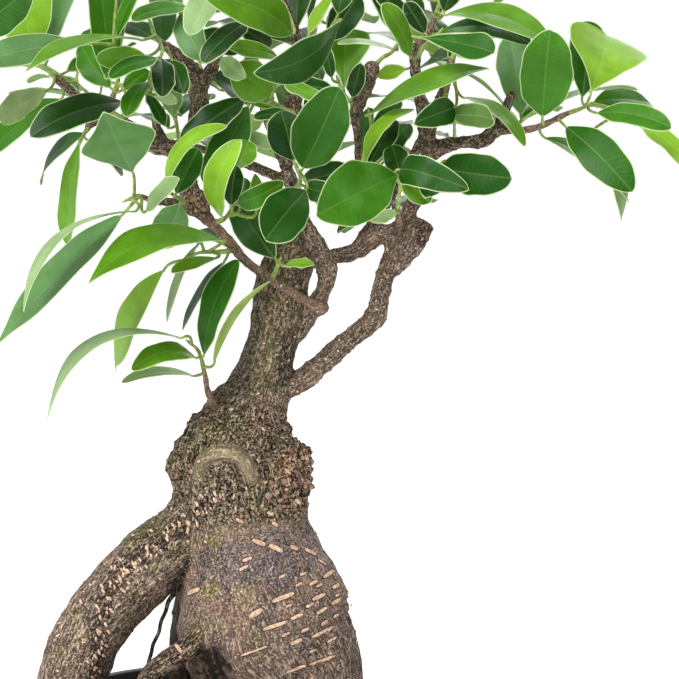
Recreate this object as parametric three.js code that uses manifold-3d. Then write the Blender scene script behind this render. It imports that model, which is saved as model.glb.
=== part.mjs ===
// Ficus ginseng bonsai in a plain round pot, in millimetres, +Z up.
// The origin is the centre of the pot's flat underside. The front is -Y.
import * as THREE from 'three';
import { mergeVertices } from 'three/addons/utils/BufferGeometryUtils.js';
import Module from 'manifold-3d';

const wasm = await Module();
wasm.setup();

// Driving dimensions
const seatGap = 0.3;
const weldWithin = 0.02;
const pot = {
  height: 95, rimRadius: 84, baseRadius: 62, wall: 2.6, rimWall: 4.2, floor: 4, footBevel: 1.5,
  bandHeight: 11, bandStep: 2.2, bandSlope: 0.6, rimBevel: 1.2,
  holeRadius: 5, holeCircle: 34, holes: 4, holeSides: 10, sides: 32,
};
const soil = { level: 84, crown: 4, edge: 2, edgeInset: 3, shoulder: 0.6, shoulderRise: 0.8, sides: 24 };
const blade = {
  widthRatio: 0.41, fold: 0.2, thickness: 0.66, tipPower: 0.5, peak: 0.55, neckRadius: 0.95,
  stalkRadius: 0.62, longFrom: 64, longRings: [0.24, 0.56, 0.86], shortRings: [0.3, 0.76],
};
const stalkSection = [[-0.9, 0.5], [0, -1], [0.9, 0.5]];
const endRing = { reach: 0.45, share: 0.62 };
const lumpSides = { round: 8, rise: 5 };
const twigSides = 4;
const leastTwigRadius = 1;

// The front view that the tables below are read from, 679 by 679 points.
// A place in it is [across, down], and a depth behind the pot's axis in millimetres sets the rest.
const view = {
  centre: 339.5, scale: 0.45, distance: 1100, pitch: THREE.MathUtils.degToRad(7),
  target: new THREE.Vector3(57.4, 0, 265.5),
};

// Rooms that the leaves keep, in millimetres
const room = { blade: 3.8, kinBlade: 2.9, twig: 1.5, wood: 1.5, stalk: 2.4 };
const sampling = { along: 15, across: 7, stalk: 5, skipped: 3 };
// Shifts of a blade's tip, tried in turn until the leaf is clear; its base follows by a part of them
const shifts = [
  [0, 0, 0], [0, 8, 0], [0, -8, 0], [0, 15, 0], [0, -15, 0], [0, 22, 0], [0, -22, 0],
  [0, 30, 0], [0, -30, 0], [5, 6, 5], [-5, -6, 5], [5, -12, -5], [-5, 12, -5], [0, 40, 0], [0, -40, 0],
  [10, 12, 8], [-10, -12, 8], [10, -20, -8], [-10, 20, -8],
];
const baseFollows = 0.35;
// Where stalks leave a twig, as distances along it
const joint = { start: 2, end: 1, apart: 1.3, fromBend: 0.4, step: 0.45 };

// Limbs of the grown wood. Each point is [across, down, depth, radius, radius in depth].
const limbs = {
  "stem": { "sides": 12, "points": [
    [296, 243, 2, 8.5, 8.5], [288, 264, 1, 11, 10.5], [281, 288, 0, 12.2, 12], [280, 314, 0, 12.8, 12.5],
    [272, 342, 0, 11.6, 12], [265, 367, 0, 12.4, 12.5], [258, 392, 0, 14.8, 15], [250, 411, 0, 18.6, 17.5],
    [244, 430, -1, 24, 21], [237, 448, -2, 28.6, 25.5], [241, 474, -2, 31.5, 27], [242, 504, -2, 30, 26.5],
    [245, 534, -3, 30, 27.5], [253, 566, -5, 33, 30], [262, 603, -8, 38.5, 34], [267, 630, -9, 40, 35],
    [281, 648, -10, 36.5, 34], [291, 662, -10, 32.5, 32], [297, 681, -10, 30.2, 30], [300, 712, -8, 28, 27],
    [301, 748, -6, 22, 22], [301, 784, -4, 13, 13]] },
  "leftRoot": { "sides": 10, "points": [
    [222, 505, -2, 20, 20], [186, 532, -5, 15, 17], [158, 556, -8, 16, 17], [132, 581, -10, 16.5, 17],
    [110, 604, -12, 15.5, 16], [93, 628, -13, 15.5, 15.5], [81, 652, -13, 15.8, 15.5],
    [72, 679, -12, 15.6, 15], [72, 706, -10, 14.5, 14], [78, 740, -8, 12, 12], [85, 776, -6, 7.5, 7.5]] },
  "smallRoot": { "sides": 6, "points": [
    [230, 610, -22, 8, 8], [207, 631, -29, 5.8, 5.8], [186, 649, -33, 5.3, 5.3], [166, 663, -35, 5.2, 5.2],
    [150, 676, -35, 5, 5], [143, 700, -33, 4.6, 4.6], [143, 738, -29, 3.6, 3.6],
    [146, 770, -25, 2.6, 2.6]] },
  "backRootLeft": { "sides": 8, "points": [
    [232, 530, 8, 18, 18], [214, 580, 22, 16, 15], [201, 625, 32, 14, 13], [196, 672, 38, 13, 12],
    [197, 716, 40, 11.5, 11], [200, 752, 40, 9, 9], [203, 784, 38, 6, 6]] },
  "backRootRight": { "sides": 8, "points": [
    [268, 540, 8, 18, 18], [292, 590, 22, 17, 15], [310, 635, 32, 15, 14], [318, 680, 36, 13, 13],
    [320, 722, 38, 11, 11], [320, 762, 38, 7, 7]] },
  "airRoot": { "sides": 4, "points": [
    [178, 586, -13, 1.4, 1.4], [167, 606, -14, 1, 1], [161, 624, -15, 0.9, 0.9], [153, 647, -15, 0.9, 0.9],
    [149, 662, -14, 0.9, 0.9], [152, 692, -13, 0.9, 0.9], [153, 742, -12, 0.9, 0.9]] },
  "callus": { "sides": 5, "points": [
    [201, 474, -22.5, 2.4, 2.4], [204, 462, -24.5, 2.7, 2.7], [213, 455, -26.5, 2.8, 2.8],
    [225, 453, -27.5, 2.8, 2.8], [237, 456, -28, 2.8, 2.8], [246, 465, -28.5, 2.7, 2.7],
    [250, 478, -28.5, 2.4, 2.4]] },
  "rightBranch": { "sides": 7, "points": [
    [270, 394, 0, 6.5, 6.5], [305, 378, -2, 5.2, 5.2], [328, 358, -4, 4.9, 4.9], [350, 339, -6, 4.8, 4.8],
    [369, 324, -7, 4.8, 4.8], [377, 312, -8, 4.9, 4.9], [380, 297, -8, 4.3, 4.3],
    [384, 280, -8, 4.1, 4.1], [391, 258, -7, 4, 4],
    [400, 230, -6, 4.4, 4.4]] },
  "cutStub": { "sides": 7, "points": [
    [389, 276, -8, 2.5, 2.5], [397, 262, -9, 5.2, 5.2], [410, 245, -9, 6, 6], [421, 229, -9, 5.8, 5.8]] },
  "crossBranch": { "sides": 6, "points": [
    [298, 262, 2, 5, 5], [320, 259, 3, 3.7, 3.7], [342, 255, 3, 3.7, 3.7], [360, 249, 1, 3.8, 3.8],
    [376, 237, -3, 4.2, 4.2], [399, 229, -6, 3.8, 3.8]] },
  "frontBranch": { "sides": 5, "points": [
    [318, 300, -4, 3.2, 3.2], [322, 309, -11, 2.9, 2.9], [300, 297, -14, 2.2, 2.2],
    [271, 279, -16, 2.2, 2.2], [246, 261, -18, 2.2, 2.2], [228, 240, -19, 2.4, 2.4],
    [210, 221, -20, 2.7, 2.7], [197, 206, -20, 4.5, 4.5]] },
  "clump": { "sides": 7, "points": [
    [203, 216, -20, 3, 3], [199, 208, -20, 6, 6], [193, 200, -20, 6.4, 6.4], [188, 192, -19, 4, 4]] },
  "leftRiser": { "sides": 6, "points": [
    [196, 204, -19, 4.2, 4.2], [187, 176, -14, 3.6, 3.6], [188, 150, -8, 3.6, 3.6],
    [194, 124, -4, 3.4, 3.4],
    [199, 104, -2, 4, 4], [197, 86, 0, 4.8, 4.8], [189, 71, 2, 4.5, 4.5], [178, 57, 3, 3.5, 3.5],
    [167, 46, 4, 2.2, 2.2]] },
  "leftStub": { "sides": 5, "points": [
    [199, 88, 0, 3.4, 3.4], [208, 76, -3, 3.4, 3.4], [214, 66, -5, 2.8, 2.8]] },
  "leftBranch": { "sides": 6, "points": [
    [190, 149, -8, 3.6, 3.6], [172, 148, -6, 3.8, 3.8], [151, 145, -4, 3.6, 3.6], [128, 130, 0, 2.8, 2.8],
    [106, 119, 4, 2.2, 2.2], [87, 127, 4, 1.7, 1.7]] },
  "leftFork": { "sides": 5, "points": [
    [164, 144, -4, 2.6, 2.6], [160, 134, -5, 2.3, 2.3], [155, 122, -6, 1.9, 1.9]] },
  "leftEnd": { "sides": 5, "points": [
    [108, 120, 4, 2.2, 2.2], [89, 106, 6, 2, 2], [70, 90, 8, 2.2, 2.2], [56, 78, 8, 2, 2]] },
  "lowLeftTwig": { "sides": 5, "points": [
    [196, 204, -20, 3, 3], [176, 203, -22, 2.3, 2.3], [154, 200, -25, 2, 2]] },
  "midRiser": { "sides": 6, "points": [
    [292, 336, -4, 5, 5], [305, 318, -6, 5, 5], [317, 302, -8, 4.4, 4.4], [325, 286, -9, 3.8, 3.8],
    [327, 270, -9, 5, 5], [322, 256, -9, 4.8, 4.8], [314, 240, -9, 4.2, 4.2], [305, 223, -10, 3, 3],
    [292, 194, -8, 2.6, 2.6], [287, 160, -5, 2.6, 2.6],
    [289, 130, -1, 3.2, 3.2], [293, 100, 3, 4.2, 4.2], [298, 70, 5, 3.3, 3.3], [297, 44, 6, 2.9, 2.9],
    [290, 20, 8, 2.7, 2.7], [282, 0, 9, 2.2, 2.2]] },
  "centreStem": { "sides": 5, "points": [
    [384, 238, -4, 2.6, 2.6], [366, 205, 4, 2.2, 2.2], [359, 165, 6, 1.9, 1.9], [357, 130, 6, 1.9, 1.9],
    [356, 113, 4, 3, 3], [360, 97, -6, 3.8, 3.8], [367, 82, -17, 3.8, 3.8], [372, 68, -22, 3.6, 3.6]] },
  "rightStem": { "sides": 6, "points": [
    [400, 231, -6, 4.2, 4.2], [413, 204, -7, 3.5, 3.5], [422, 188, -8, 3.2, 3.2], [428, 160, -8, 3.4, 3.4],
    [427, 139, -8, 3.8, 3.8], [426, 118, -6, 4, 4], [419, 94, -4, 2.8, 2.8], [415, 66, -2, 2.5, 2.5],
    [416, 46, -2, 2.2, 2.2]] },
  "rightFork": { "sides": 5, "points": [
    [429, 126, -6, 2.6, 2.6], [439, 106, -8, 2.4, 2.4], [445, 86, -11, 2.5, 2.5], [451, 62, -13, 2, 2]] },
  "farBranch": { "sides": 6, "points": [
    [429, 151, -8, 3.4, 3.4], [446, 144, -10, 3, 3], [464, 142, -12, 2.8, 2.8], [482, 141, -12, 3.5, 3.5],
    [495, 131, -12, 2.9, 2.9], [512, 129, -12, 2.3, 2.3]] },
  "farStub": { "sides": 5, "points": [
    [492, 134, -12, 2.8, 2.8], [504, 112, -11, 2.4, 2.4], [512, 94, -11, 2, 2]] },
  "backRiser": { "sides": 5, "points": [
    [301, 254, 6, 4.5, 4.5], [303, 222, 24, 3.6, 3.6], [292, 182, 44, 3.1, 3.1], [275, 140, 60, 2.6, 2.6],
    [262, 100, 72, 2.2, 2.2], [256, 62, 78, 1.8, 1.8]] },
  "backRight": { "sides": 5, "points": [
    [350, 256, 2, 3, 3], [374, 222, 24, 2.9, 2.9], [400, 180, 44, 2.6, 2.6], [424, 135, 58, 2.2, 2.2],
    [440, 95, 68, 1.8, 1.8]] },
  "backFarRight": { "sides": 5, "points": [
    [398, 184, 43, 2.3, 2.3], [446, 150, 46, 1.9, 1.9], [496, 136, 42, 1.6, 1.6]] },
  "backLeft": { "sides": 5, "points": [
    [293, 184, 43, 2.6, 2.6], [250, 165, 50, 2.4, 2.4], [205, 150, 54, 2.1, 2.1], [160, 140, 54, 1.8, 1.8],
    [125, 120, 56, 1.5, 1.5]] },
};

// Round lumps on the neck: [across, down, depth, radius]
const lumps = [
  [296, 463, -15, 7.8], [292, 482, -14, 9], [279, 486, -22, 8], [289, 506, -16, 9], [184, 466, -10, 8.5],
];

// Leafy stems. A twig point is [across, down, depth, radius]. A leaf row is [base across, base down,
// tip across, tip down, seen width, base depth, tip depth, side shown, arch]: places and the seen
// width in the front view, 1 for the upper side, -1 for the underside, 2 leaning the other way, and
// the arch as a share of the length. A last number, if any, is where along it the blade is widest.
const stems = {
  "leafyStemLeftTip": { "twig": [
    [58, 79, 8, 1.5], [50, 72, 8, 1.2], [36, 64, 6, 1], [14, 54, 4, 0.9], [-12, 42, 2, 0.8],
    [-36, 30, 0, 0.5]],
    "leaves": [
      [-26, 34, 32, -12, 45, 0, -14, 1, 0.06], [30, 56, 20, -34, 56, 10, 16, 1, 0.05],
      [49, 90, 2, 117, 27, 4, -10, -1, 0.08], [57, 100, -25, 160, 26, 2, -14, 1, 0.08],
      [51, 50, 88, -50, 28, 14, 26, 1, 0.05], [66, 72, 98, 56, 16, 14, 22, 1, 0.05],
      [-38, 28, -74, -12, 30, -4, -14, 1, 0.08], [-38, 38, -84, 62, 24, 4, 14, 1, 0.1],
      [-16, 50, -54, 92, 34, 2, -12, 1, 0.1]] },
  "leafyStemLeftUpright": { "twig": [
    [108, 119, 4, 1.6], [113, 96, 0, 1.4], [118, 80, -3, 1.2], [114, 44, -6, 0.9], [116, 8, -8, 0.7],
    [120, -24, -8, 0.5]],
    "leaves": [
      [82, 44, -34, 70, 30, -12, -30, 1, 0.05], [123, 102, 31, 135, 32, -20, -48, 1, 0.09],
      [104, 76, 94, -22, 30, -6, 0, 1, 0.05], [110, 88, 80, 48, 30, -4, 8, 1, 0.06],
      [118, 38, 148, -25, 16, -2, 10, 1, 0.05], [122, 90, 149, 70, 18, -2, 4, 1, 0.06],
      [116, 70, 124, -16, 24, 6, 22, 1, 0.05], [116, -22, 90, -70, 30, -12, -20, 1, 0.08],
      [124, -24, 148, -76, 26, -6, 8, 1, 0.08]] },
  "leafyStemLeftLow": { "twig": [
    [89, 127, 4, 1.3], [84, 134, 2, 1], [78, 146, 0, 0.6]],
    "leaves": [
      [84, 134, 36, 184, 14, 8, 22, 1, 0.1], [80, 142, 70, 246, 22, -4, -14, 1, 0.06],
      [86, 140, 122, 172, 20, 10, 34, 1, 0.1]] },
  "leafyStemLeftFork": { "twig": [
    [156, 124, -6, 1.4], [156, 112, -9, 1.1], [151, 94, -10, 0.9], [149, 80, -10, 0.5]],
    "leaves": [
      [149, 82, 129, 114, 20, -14, -26, 1, 0.08], [146, 94, 164, 126, 12, -16, -24, 1, 0.06],
      [150, 82, 157, 66, 9, -8, -2, 1, 0.05], [152, 94, 176, 102, 12, -8, -16, -1, 0.05]] },
  "leafyStemLeftCluster": { "twig": [
    [170, 50, 4, 2], [161, 42, 3, 1.5], [154, 34, 2, 1], [150, 22, 2, 0.5]],
    "leaves": [
      [143, 40, 25, 71, 12, -24, -60, 1, 0.1], [158, 58, 110, 76, 16, -30, -50, 1, 0.05],
      [158, 46, 147, -40, 25, 6, 20, 1, 0.05], [146, 56, 97, 59, 24, -14, -24, 1, 0.04],
      [154, 40, 118, 24, 18, 10, 20, 1, 0.05], [162, 58, 166, 94, 24, -4, -14, 1, 0.06],
      [172, 60, 184, 94, 24, -10, -22, 1, 0.06]] },
  "leafyStemLeftTop": { "twig": [
    [184, 62, 2, 1.8], [188, 40, 4, 1.4], [194, 14, 6, 1], [200, -16, 8, 0.8], [204, -46, 8, 0.5]],
    "leaves": [
      [214, -14, 190, 34, 30, -12, -38, 1, 0.05], [180, 14, 201, 60, 30, -6, -22, 1, 0.05],
      [196, 12, 145, 31, 16, 0, -16, 1, 0.06], [198, 32, 240, 50, 26, 12, 26, 1, 0.06],
      [200, 8, 240, -8, 24, 14, 28, 1, 0.06], [182, 4, 164, -30, 22, 12, 24, 1, 0.06],
      [200, -40, 176, -84, 28, 6, 0, 1, 0.08], [208, -46, 236, -88, 26, 8, 20, 1, 0.08],
      [196, -10, 152, -40, 26, 8, 26, 1, 0.1]] },
  "leafyStemUpperLeft": { "twig": [
    [212, 69, -5, 1.8], [222, 52, -8, 1.3], [238, 32, -10, 1], [252, 14, -12, 0.8], [262, -14, -12, 0.5]],
    "leaves": [
      [248, 22, 203, 63, 24, -20, -40, 1, 0.08], [224, 47, 278, 56, 17, -4, 8, 1, 0.06],
      [221, 58, 244, 78, 20, -14, -26, 1, 0.06], [208, 78, 242, 101, 20, -2, 4, 1, 0.06],
      [240, 26, 270, 46, 24, 10, 22, 1, 0.06], [258, -14, 226, -56, 30, -16, -30, 1, 0.1],
      [266, -16, 300, -62, 28, -10, -18, 1, 0.1]] },
  "leafyStemInner": { "twig": [
    [294, 118, 0, 1.6], [282, 108, -5, 1.3], [264, 102, -8, 1], [247, 101, -12, 0.6]],
    "leaves": [
      [272, 95, 236, 66, 42, -4, 8, 1, 0.05, 0.5], [248, 106, 203, 186, 36, -18, -30, 1, 0.06],
      [246, 98, 183, 141, 28, -8, -18, 1, 0.05], [284, 84, 322, 102, 14, -24, -38, 1, 0.06],
      [292, 114, 254, 119, 12, -12, -24, 1, 0.06], [278, 112, 257, 102, 17, 2, 8, 1, 0.05],
      [248, 134, 272, 146, 15, -6, -14, 1, 0.05], [260, 106, 240, 126, 20, 6, 16, 1, 0.05]] },
  "leafyStemTopFront": { "twig": [
    [299, 52, 6, 1.8], [310, 42, -3, 1.3], [324, 36, -12, 1], [336, 20, -20, 0.6]],
    "leaves": [
      [338, 22, 255, 73, 34, -28, -62, 2, 0.14, 0.6], [328, 42, 358, -5, 32, -6, 10, 1, 0.05],
      [309, 34, 332, -4, 13, -10, -2, 1, 0.05], [338, 14, 352, -40, 26, -22, -26, 1, 0.08],
      [306, 50, 322, 80, 20, 12, 22, 1, 0.06]] },
  "leafyStemTop": { "twig": [
    [283, 3, 9, 1.9], [279, -14, 10, 1.4], [277, -36, 12, 1], [280, -62, 12, 0.5]],
    "leaves": [
      [292, 34, 206, -6, 42, -6, -26, 1, 0.16], [290, 44, 252, 20, 26, 14, 26, 1, 0.06],
      [296, 30, 304, -28, 24, 16, 24, 1, 0.05], [284, 20, 260, -24, 26, 18, 30, 1, 0.05],
      [274, -34, 240, -80, 28, 16, 26, 1, 0.08], [280, -60, 292, -104, 24, 12, 6, 1, 0.08],
      [282, -22, 324, -58, 28, 10, 26, 1, 0.08], [276, -40, 238, -42, 26, 18, 44, 1, 0.1]] },
  "leafyStemCentre": { "twig": [
    [357, 106, 0, 1.4], [350, 101, -7, 1.1], [343, 92, -12, 0.9], [338, 80, -12, 0.5]],
    "leaves": [
      [348, 95, 357, 40, 50, -4, 20, 1, 0.05, 0.76], [332, 78, 326, 46, 14, -8, -2, 1, 0.05],
      [336, 90, 290, 82, 20, -18, -8, 1, 0.06], [352, 97, 361, 63, 18, -9, -6, 1, 0.05],
      [338, 99, 304, 104, 24, 0, 10, 1, 0.05]] },
  "leafyStemCentreTop": { "twig": [
    [372, 69, -21, 1.3], [382, 58, -17, 1], [392, 52, -12, 0.8], [400, 40, -8, 0.5]],
    "leaves": [
      [396, 50, 338, 43, 5, -8, -18, 1, 0.06], [400, 38, 374, -10, 24, 2, 16, 1, 0.08]] },
  "leafyStemCentreLow": { "twig": [
    [359, 172, 6, 1.4], [364, 158, 1, 1.2], [370, 140, -4, 1], [371, 124, -6, 0.8], [369, 112, -6, 0.5]],
    "leaves": [
      [365, 164, 413, 108, 12, -28, -24, 1, 0.18, 0.5], [370, 114, 488, 69, 19, -12, -28, 1, 0.08],
      [369, 168, 396, 122, 25, -10, -12, 1, 0.06], [384, 162, 409, 124, 22, 6, 18, 1, 0.06],
      [374, 138, 400, 102, 17, -4, 12, 1, 0.06], [361, 156, 370, 108, 18, 14, 22, 1, 0.05],
      [352, 168, 303, 182, 28, -6, -20, 1, 0.05]] },
  "leafyStemFront": { "twig": [
    [402, 229, -9, 1.8], [398, 215, -20, 1.5], [399, 198, -28, 1.1], [401, 181, -33, 0.6]],
    "leaves": [
      [398, 175, 317, 215, 62, -36, -72, 1, 0.06, 0.64],
      [400, 170, 469, 189, 32, -38, -58, 1, 0.34, 0.42],
      [403, 178, 430, 203, 24, -34, -46, 1, 0.05], [397, 213, 369, 219, 14, -24, -28, 1, 0.06],
      [402, 176, 392, 146, 26, -20, -12, 1, 0.05]] },
  "leafyStemRightMid": { "twig": [
    [427, 168, -8, 1.5], [437, 166, -15, 1.2], [446, 164, -19, 0.9], [453, 158, -20, 0.5]],
    "leaves": [
      [438, 168, 511, 178, 43, -20, -38, 1, 0.05], [440, 163, 424, 194, 28, -20, -28, 1, 0.05]] },
  "leafyStemRightFork": { "twig": [
    [450, 68, -13, 1.8], [453, 56, -14, 1.2], [457, 44, -15, 0.5]],
    "leaves": [
      [450, 103, 403, 110, 29, -20, -36, 1, 0.04, 0.27], [462, 97, 525, 146, 13, -18, -28, 1, 0.14],
      [447, 114, 494, 118, 25, -20, -36, -1, 0.05], [449, 58, 428, 65, 12, -14, -8, 1, 0.05]] },
  "leafyStemRightCrown": { "twig": [
    [416, 58, -2, 1.7], [424, 46, -10, 1.2], [435, 38, -15, 0.8], [440, 32, -16, 0.5]],
    "leaves": [
      [414, 37, 493, 52, 27, -22, -46, 1, 0.03, 0.78], [438, 34, 532, 42, 20, -12, -34, 1, 0.14],
      [418, 63, 406, 23, 21, -12, -18, 1, 0.05], [407, 69, 379, 75, 15, 8, 14, 1, 0.06],
      [426, 34, 406, 2, 20, -16, -20, 1, 0.06]] },
  "leafyStemRightTop": { "twig": [
    [417, 48, -2, 1.8], [429, 32, -2, 1.6], [436, 14, -2, 1.3], [444, -12, -2, 0.9], [448, -38, -2, 0.5]],
    "leaves": [
      [445, 15, 551, 47, 25, -8, -24, 1, 0.13], [430, 0, 336, -10, 16, 6, 22, 1, 0.12],
      [414, 24, 376, -8, 20, 4, 2, 1, 0.06], [424, 30, 402, -20, 16, 8, 20, 1, 0.05],
      [434, 20, 428, -26, 14, 8, 24, 1, 0.05], [444, 12, 458, -34, 24, -10, -16, 1, 0.05],
      [410, 48, 366, 35, 7, 2, 12, 1, 0.1], [446, -36, 418, -84, 28, -2, 6, 1, 0.08],
      [450, -40, 486, -78, 26, -2, -12, 1, 0.08], [448, -14, 500, -32, 26, 4, 14, 1, 0.08]] },
  "leafyStemFarRight": { "twig": [
    [510, 129, -12, 1.9], [524, 130, -14, 1.7], [538, 127, -15, 1.6], [552, 121, -15, 1.5],
    [566, 114, -14, 1.4], [580, 109, -14, 1.1], [592, 105, -13, 0.9], [612, 110, -11, 0.7],
    [636, 120, -8, 0.5]],
    "leaves": [
      [542, 116, 548, 30, 53, -20, -34, 1, 0.06], [591, 93, 606, 36, 84, -30, 10, 1, 0.06, 0.74],
      [522, 115, 512, 36, 38, -8, 2, 1, 0.06], [545, 138, 630, 202, 16, -8, 8, 1, 0.1],
      [566, 127, 632, 192, 40, -22, -46, 1, 0.1], [582, 98, 588, 20, 40, 2, 24, 1, 0.05, 0.6],
      [597, 113, 671, 127, 23, -22, -38, 1, 0.08], [594, 103, 653, 106, 20, -8, 8, 1, 0.08],
      [640, 126, 690, 168, 20, -10, -22, 1, 0.1], [590, 140, 628, 222, 24, 6, 16, 1, 0.12, 0.7]] },
  "leafyStemLowLeft": { "twig": [
    [156, 201, -25, 1.6], [148, 199, -28, 1.5], [138, 196, -31, 1.3], [127, 200, -33, 0.6]],
    "leaves": [
      [133, 173, 104, 111, 79, -42, -94, 1, 0.06, 0.78], [136, 211, 24, 312, 9, -44, -66, 1, 0.2],
      [121, 216, -3, 346, 30, -32, -44, 1, 0.02, 0.44], [146, 211, 178, 179, 15, -46, -62, 1, 0.06]] },
  "leafyStemClumpLeft": { "twig": [
    [190, 206, -22, 1.5], [180, 199, -32, 1.2], [172, 194, -38, 0.8], [166, 188, -40, 0.5]],
    "leaves": [
      [165, 190, 224, 126, 15, -48, -62, 1, 0.2, 0.5], [176, 194, 198, 148, 26, -38, -36, 1, 0.05],
      [180, 204, 162, 246, 36, -26, -30, 1, 0.05]] },
  "leafyStemClumpUp": { "twig": [
    [212, 223, -20, 1.5], [224, 219, -29, 1.2], [232, 208, -34, 1], [237, 190, -36, 0.8],
    [240, 176, -36, 0.5]],
    "leaves": [
      [222, 218, 239, 140, 26, -46, -60, 1, 0.2], [238, 204, 284, 182, 22, -38, -44, 1, 0.5, 0.55],
      [231, 206, 236, 165, 22, -42, -44, 1, 0.04], [235, 170, 248, 141, 28, -42, -38, 1, 0.05],
      [256, 212, 255, 174, 12, -28, -22, 1, 0.04], [240, 208, 246, 178, 18, -24, -16, 1, 0.05]] },
  "leafyStemDroop": { "twig": [
    [237, 249, -19, 1.5], [220, 252, -25, 1.2], [203, 252, -29, 1], [190, 256, -31, 0.7],
    [180, 262, -32, 0.5]],
    "leaves": [
      [222, 241, 88, 284, 26, -40, -64, 1, 0.17], [222, 246, 195, 235, 14, -18, -8, 1, 0.05],
      [198, 244, 168, 322, 9, -24, -18, 1, 0.06], [216, 258, 172, 273, 10, -36, -50, 1, 0.05],
      [224, 262, 183, 330, 8, -18, -10, 1, 0.05], [164, 270, 116, 371, 27, -22, 8, 1, 0.08, 0.6]] },
  "leafyStemSide": { "twig": [
    [224, 420, -8, 1.9], [209, 395, -14, 1.6], [205, 375, -18, 1.4], [199, 352, -20, 1.1],
    [190, 343, -21, 0.5]],
    "leaves": [
      [204, 355, 238, 260, 27, -26, -34, 1, 0.08], [213, 366, 268, 284, 9, -26, -40, -1, 0.08],
      [196, 358, 132, 368, 18, -26, -40, 1, 0.24], [194, 376, 122, 382, 6, -20, -30, 1, 0.1],
      [182, 338, 46, 420, 8, -38, -52, 1, 0.25]] },
  "leafyStemInnerFront": { "twig": [
    [272, 278, -17, 1.4], [277, 268, -25, 1.1], [280, 260, -30, 0.6]],
    "leaves": [
      [275, 260, 234, 205, 38, -27, -20, 1, 0.06], [284, 266, 314, 266, 8, -30, -38, 1, 0.08]] },
  "leafyStemHang": { "twig": [
    [293, 190, -8, 1.5], [299, 185, -20, 1.2], [300, 176, -28, 0.9], [297, 166, -32, 0.5]],
    "leaves": [
      [306, 190, 265, 240, 46, -40, -76, 1, 0.05, 0.62],
      [303, 168, 340, 87, 52, -38, -58, 1, 0.05, 0.5],
      [294, 160, 282, 110, 40, -24, -16, 1, 0.06], [304, 186, 334, 196, 24, -22, -30, 1, 0.05]] },
};

// Leafy stems on the far side, placed by rule: [across, down, depth, bearing, rise, length, leaves].
// The start is inside a branch, and bearing 0 is +X and 90 is +Y, in degrees.
const farStems = [
  [257, 66, 77, 100, 48, 32, 5], [264, 106, 70, 160, 18, 36, 5], [280, 152, 56, 62, 6, 36, 4],
  [438, 99, 67, 62, 42, 30, 5], [414, 154, 52, 108, 6, 34, 4], [127, 121, 56, 165, 28, 30, 5],
  [180, 145, 54, 98, 20, 34, 5], [234, 159, 51, 92, -4, 34, 4], [493, 137, 42, 28, 20, 30, 5],
  [455, 148, 45, 88, 12, 34, 4], [300, 62, 6, 78, 22, 44, 4], [376, 219, 25, 82, -6, 36, 4],
];
const farRule = {
  turn: 137.5, firstTurn: 40, turnSpread: 24, rise: 6, riseSpread: 26, length: 41, lengthSpread: 9,
  stalk: 8, arch: 0.1, radius: 1.4, tipRadius: 0.5, lift: 5, seed: 20, firstLeaf: 0.4, forward: 0.7,
  droop: 0.12,
};

const palette = {
  pot: 0x1f1f22, soil: 0x3a2b20, wood: 0x7a6a5a, leaves: 0x3f7d3a,
};

const toViewer = new THREE.Vector3(0, -1, 0);
const upwards = new THREE.Vector3(0, 0, 1);

function place(across, down, depth) {
  const focal = view.distance / view.scale;
  const right = (across - view.centre) / focal;
  const rise = (view.centre - down) / focal;
  const cos = Math.cos(view.pitch);
  const sin = Math.sin(view.pitch);
  const eyeY = -view.distance * cos;
  const eyeZ = view.target.z + view.distance * sin;
  const reach = (depth - eyeY) / (cos + rise * sin);
  return new THREE.Vector3(view.target.x + reach * right, depth, eyeZ + reach * (rise * cos - sin));
}

// Numbers from 0 to 1, the same at every run
function makeRandom(seed) {
  let state = seed;
  return () => {
    state = (state * 1664525 + 1013904223) % 4294967296;
    return state / 4294967296;
  };
}

// Turns points and triangles into a solid with its faces pointing out
function solidOf(points, triangles) {
  let volume = 0;
  for (const [a, b, c] of triangles) {
    volume += points[a].dot(points[b].clone().cross(points[c]));
  }
  const vertProperties = new Float32Array(points.flatMap((p) => [p.x, p.y, p.z]));
  const outward = volume < 0 ? triangles.map(([a, b, c]) => [a, c, b]) : triangles;
  const triVerts = new Uint32Array(outward.flat());
  return new wasm.Manifold(new wasm.Mesh({ numProp: 3, vertProperties, triVerts, tolerance: weldWithin }));
}

function solidOfGeometry(geometry) {
  geometry.deleteAttribute('normal');
  geometry.deleteAttribute('uv');
  const merged = mergeVertices(geometry, 1e-4);
  const position = merged.getAttribute('position');
  const points = [];
  for (let i = 0; i < position.count; i += 1) {
    points.push(new THREE.Vector3().fromBufferAttribute(position, i));
  }
  const index = [...merged.getIndex().array];
  const triangles = [];
  for (let i = 0; i < index.length; i += 3) {
    triangles.push(index.slice(i, i + 3));
  }
  return solidOf(points, triangles);
}

function geometryOf(solid) {
  const mesh = solid.getMesh();
  const geometry = new THREE.BufferGeometry();
  geometry.setAttribute('position', new THREE.BufferAttribute(new Float32Array(mesh.vertProperties), 3));
  geometry.setIndex(new THREE.BufferAttribute(new Uint32Array(mesh.triVerts), 1));
  return geometry;
}

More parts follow.
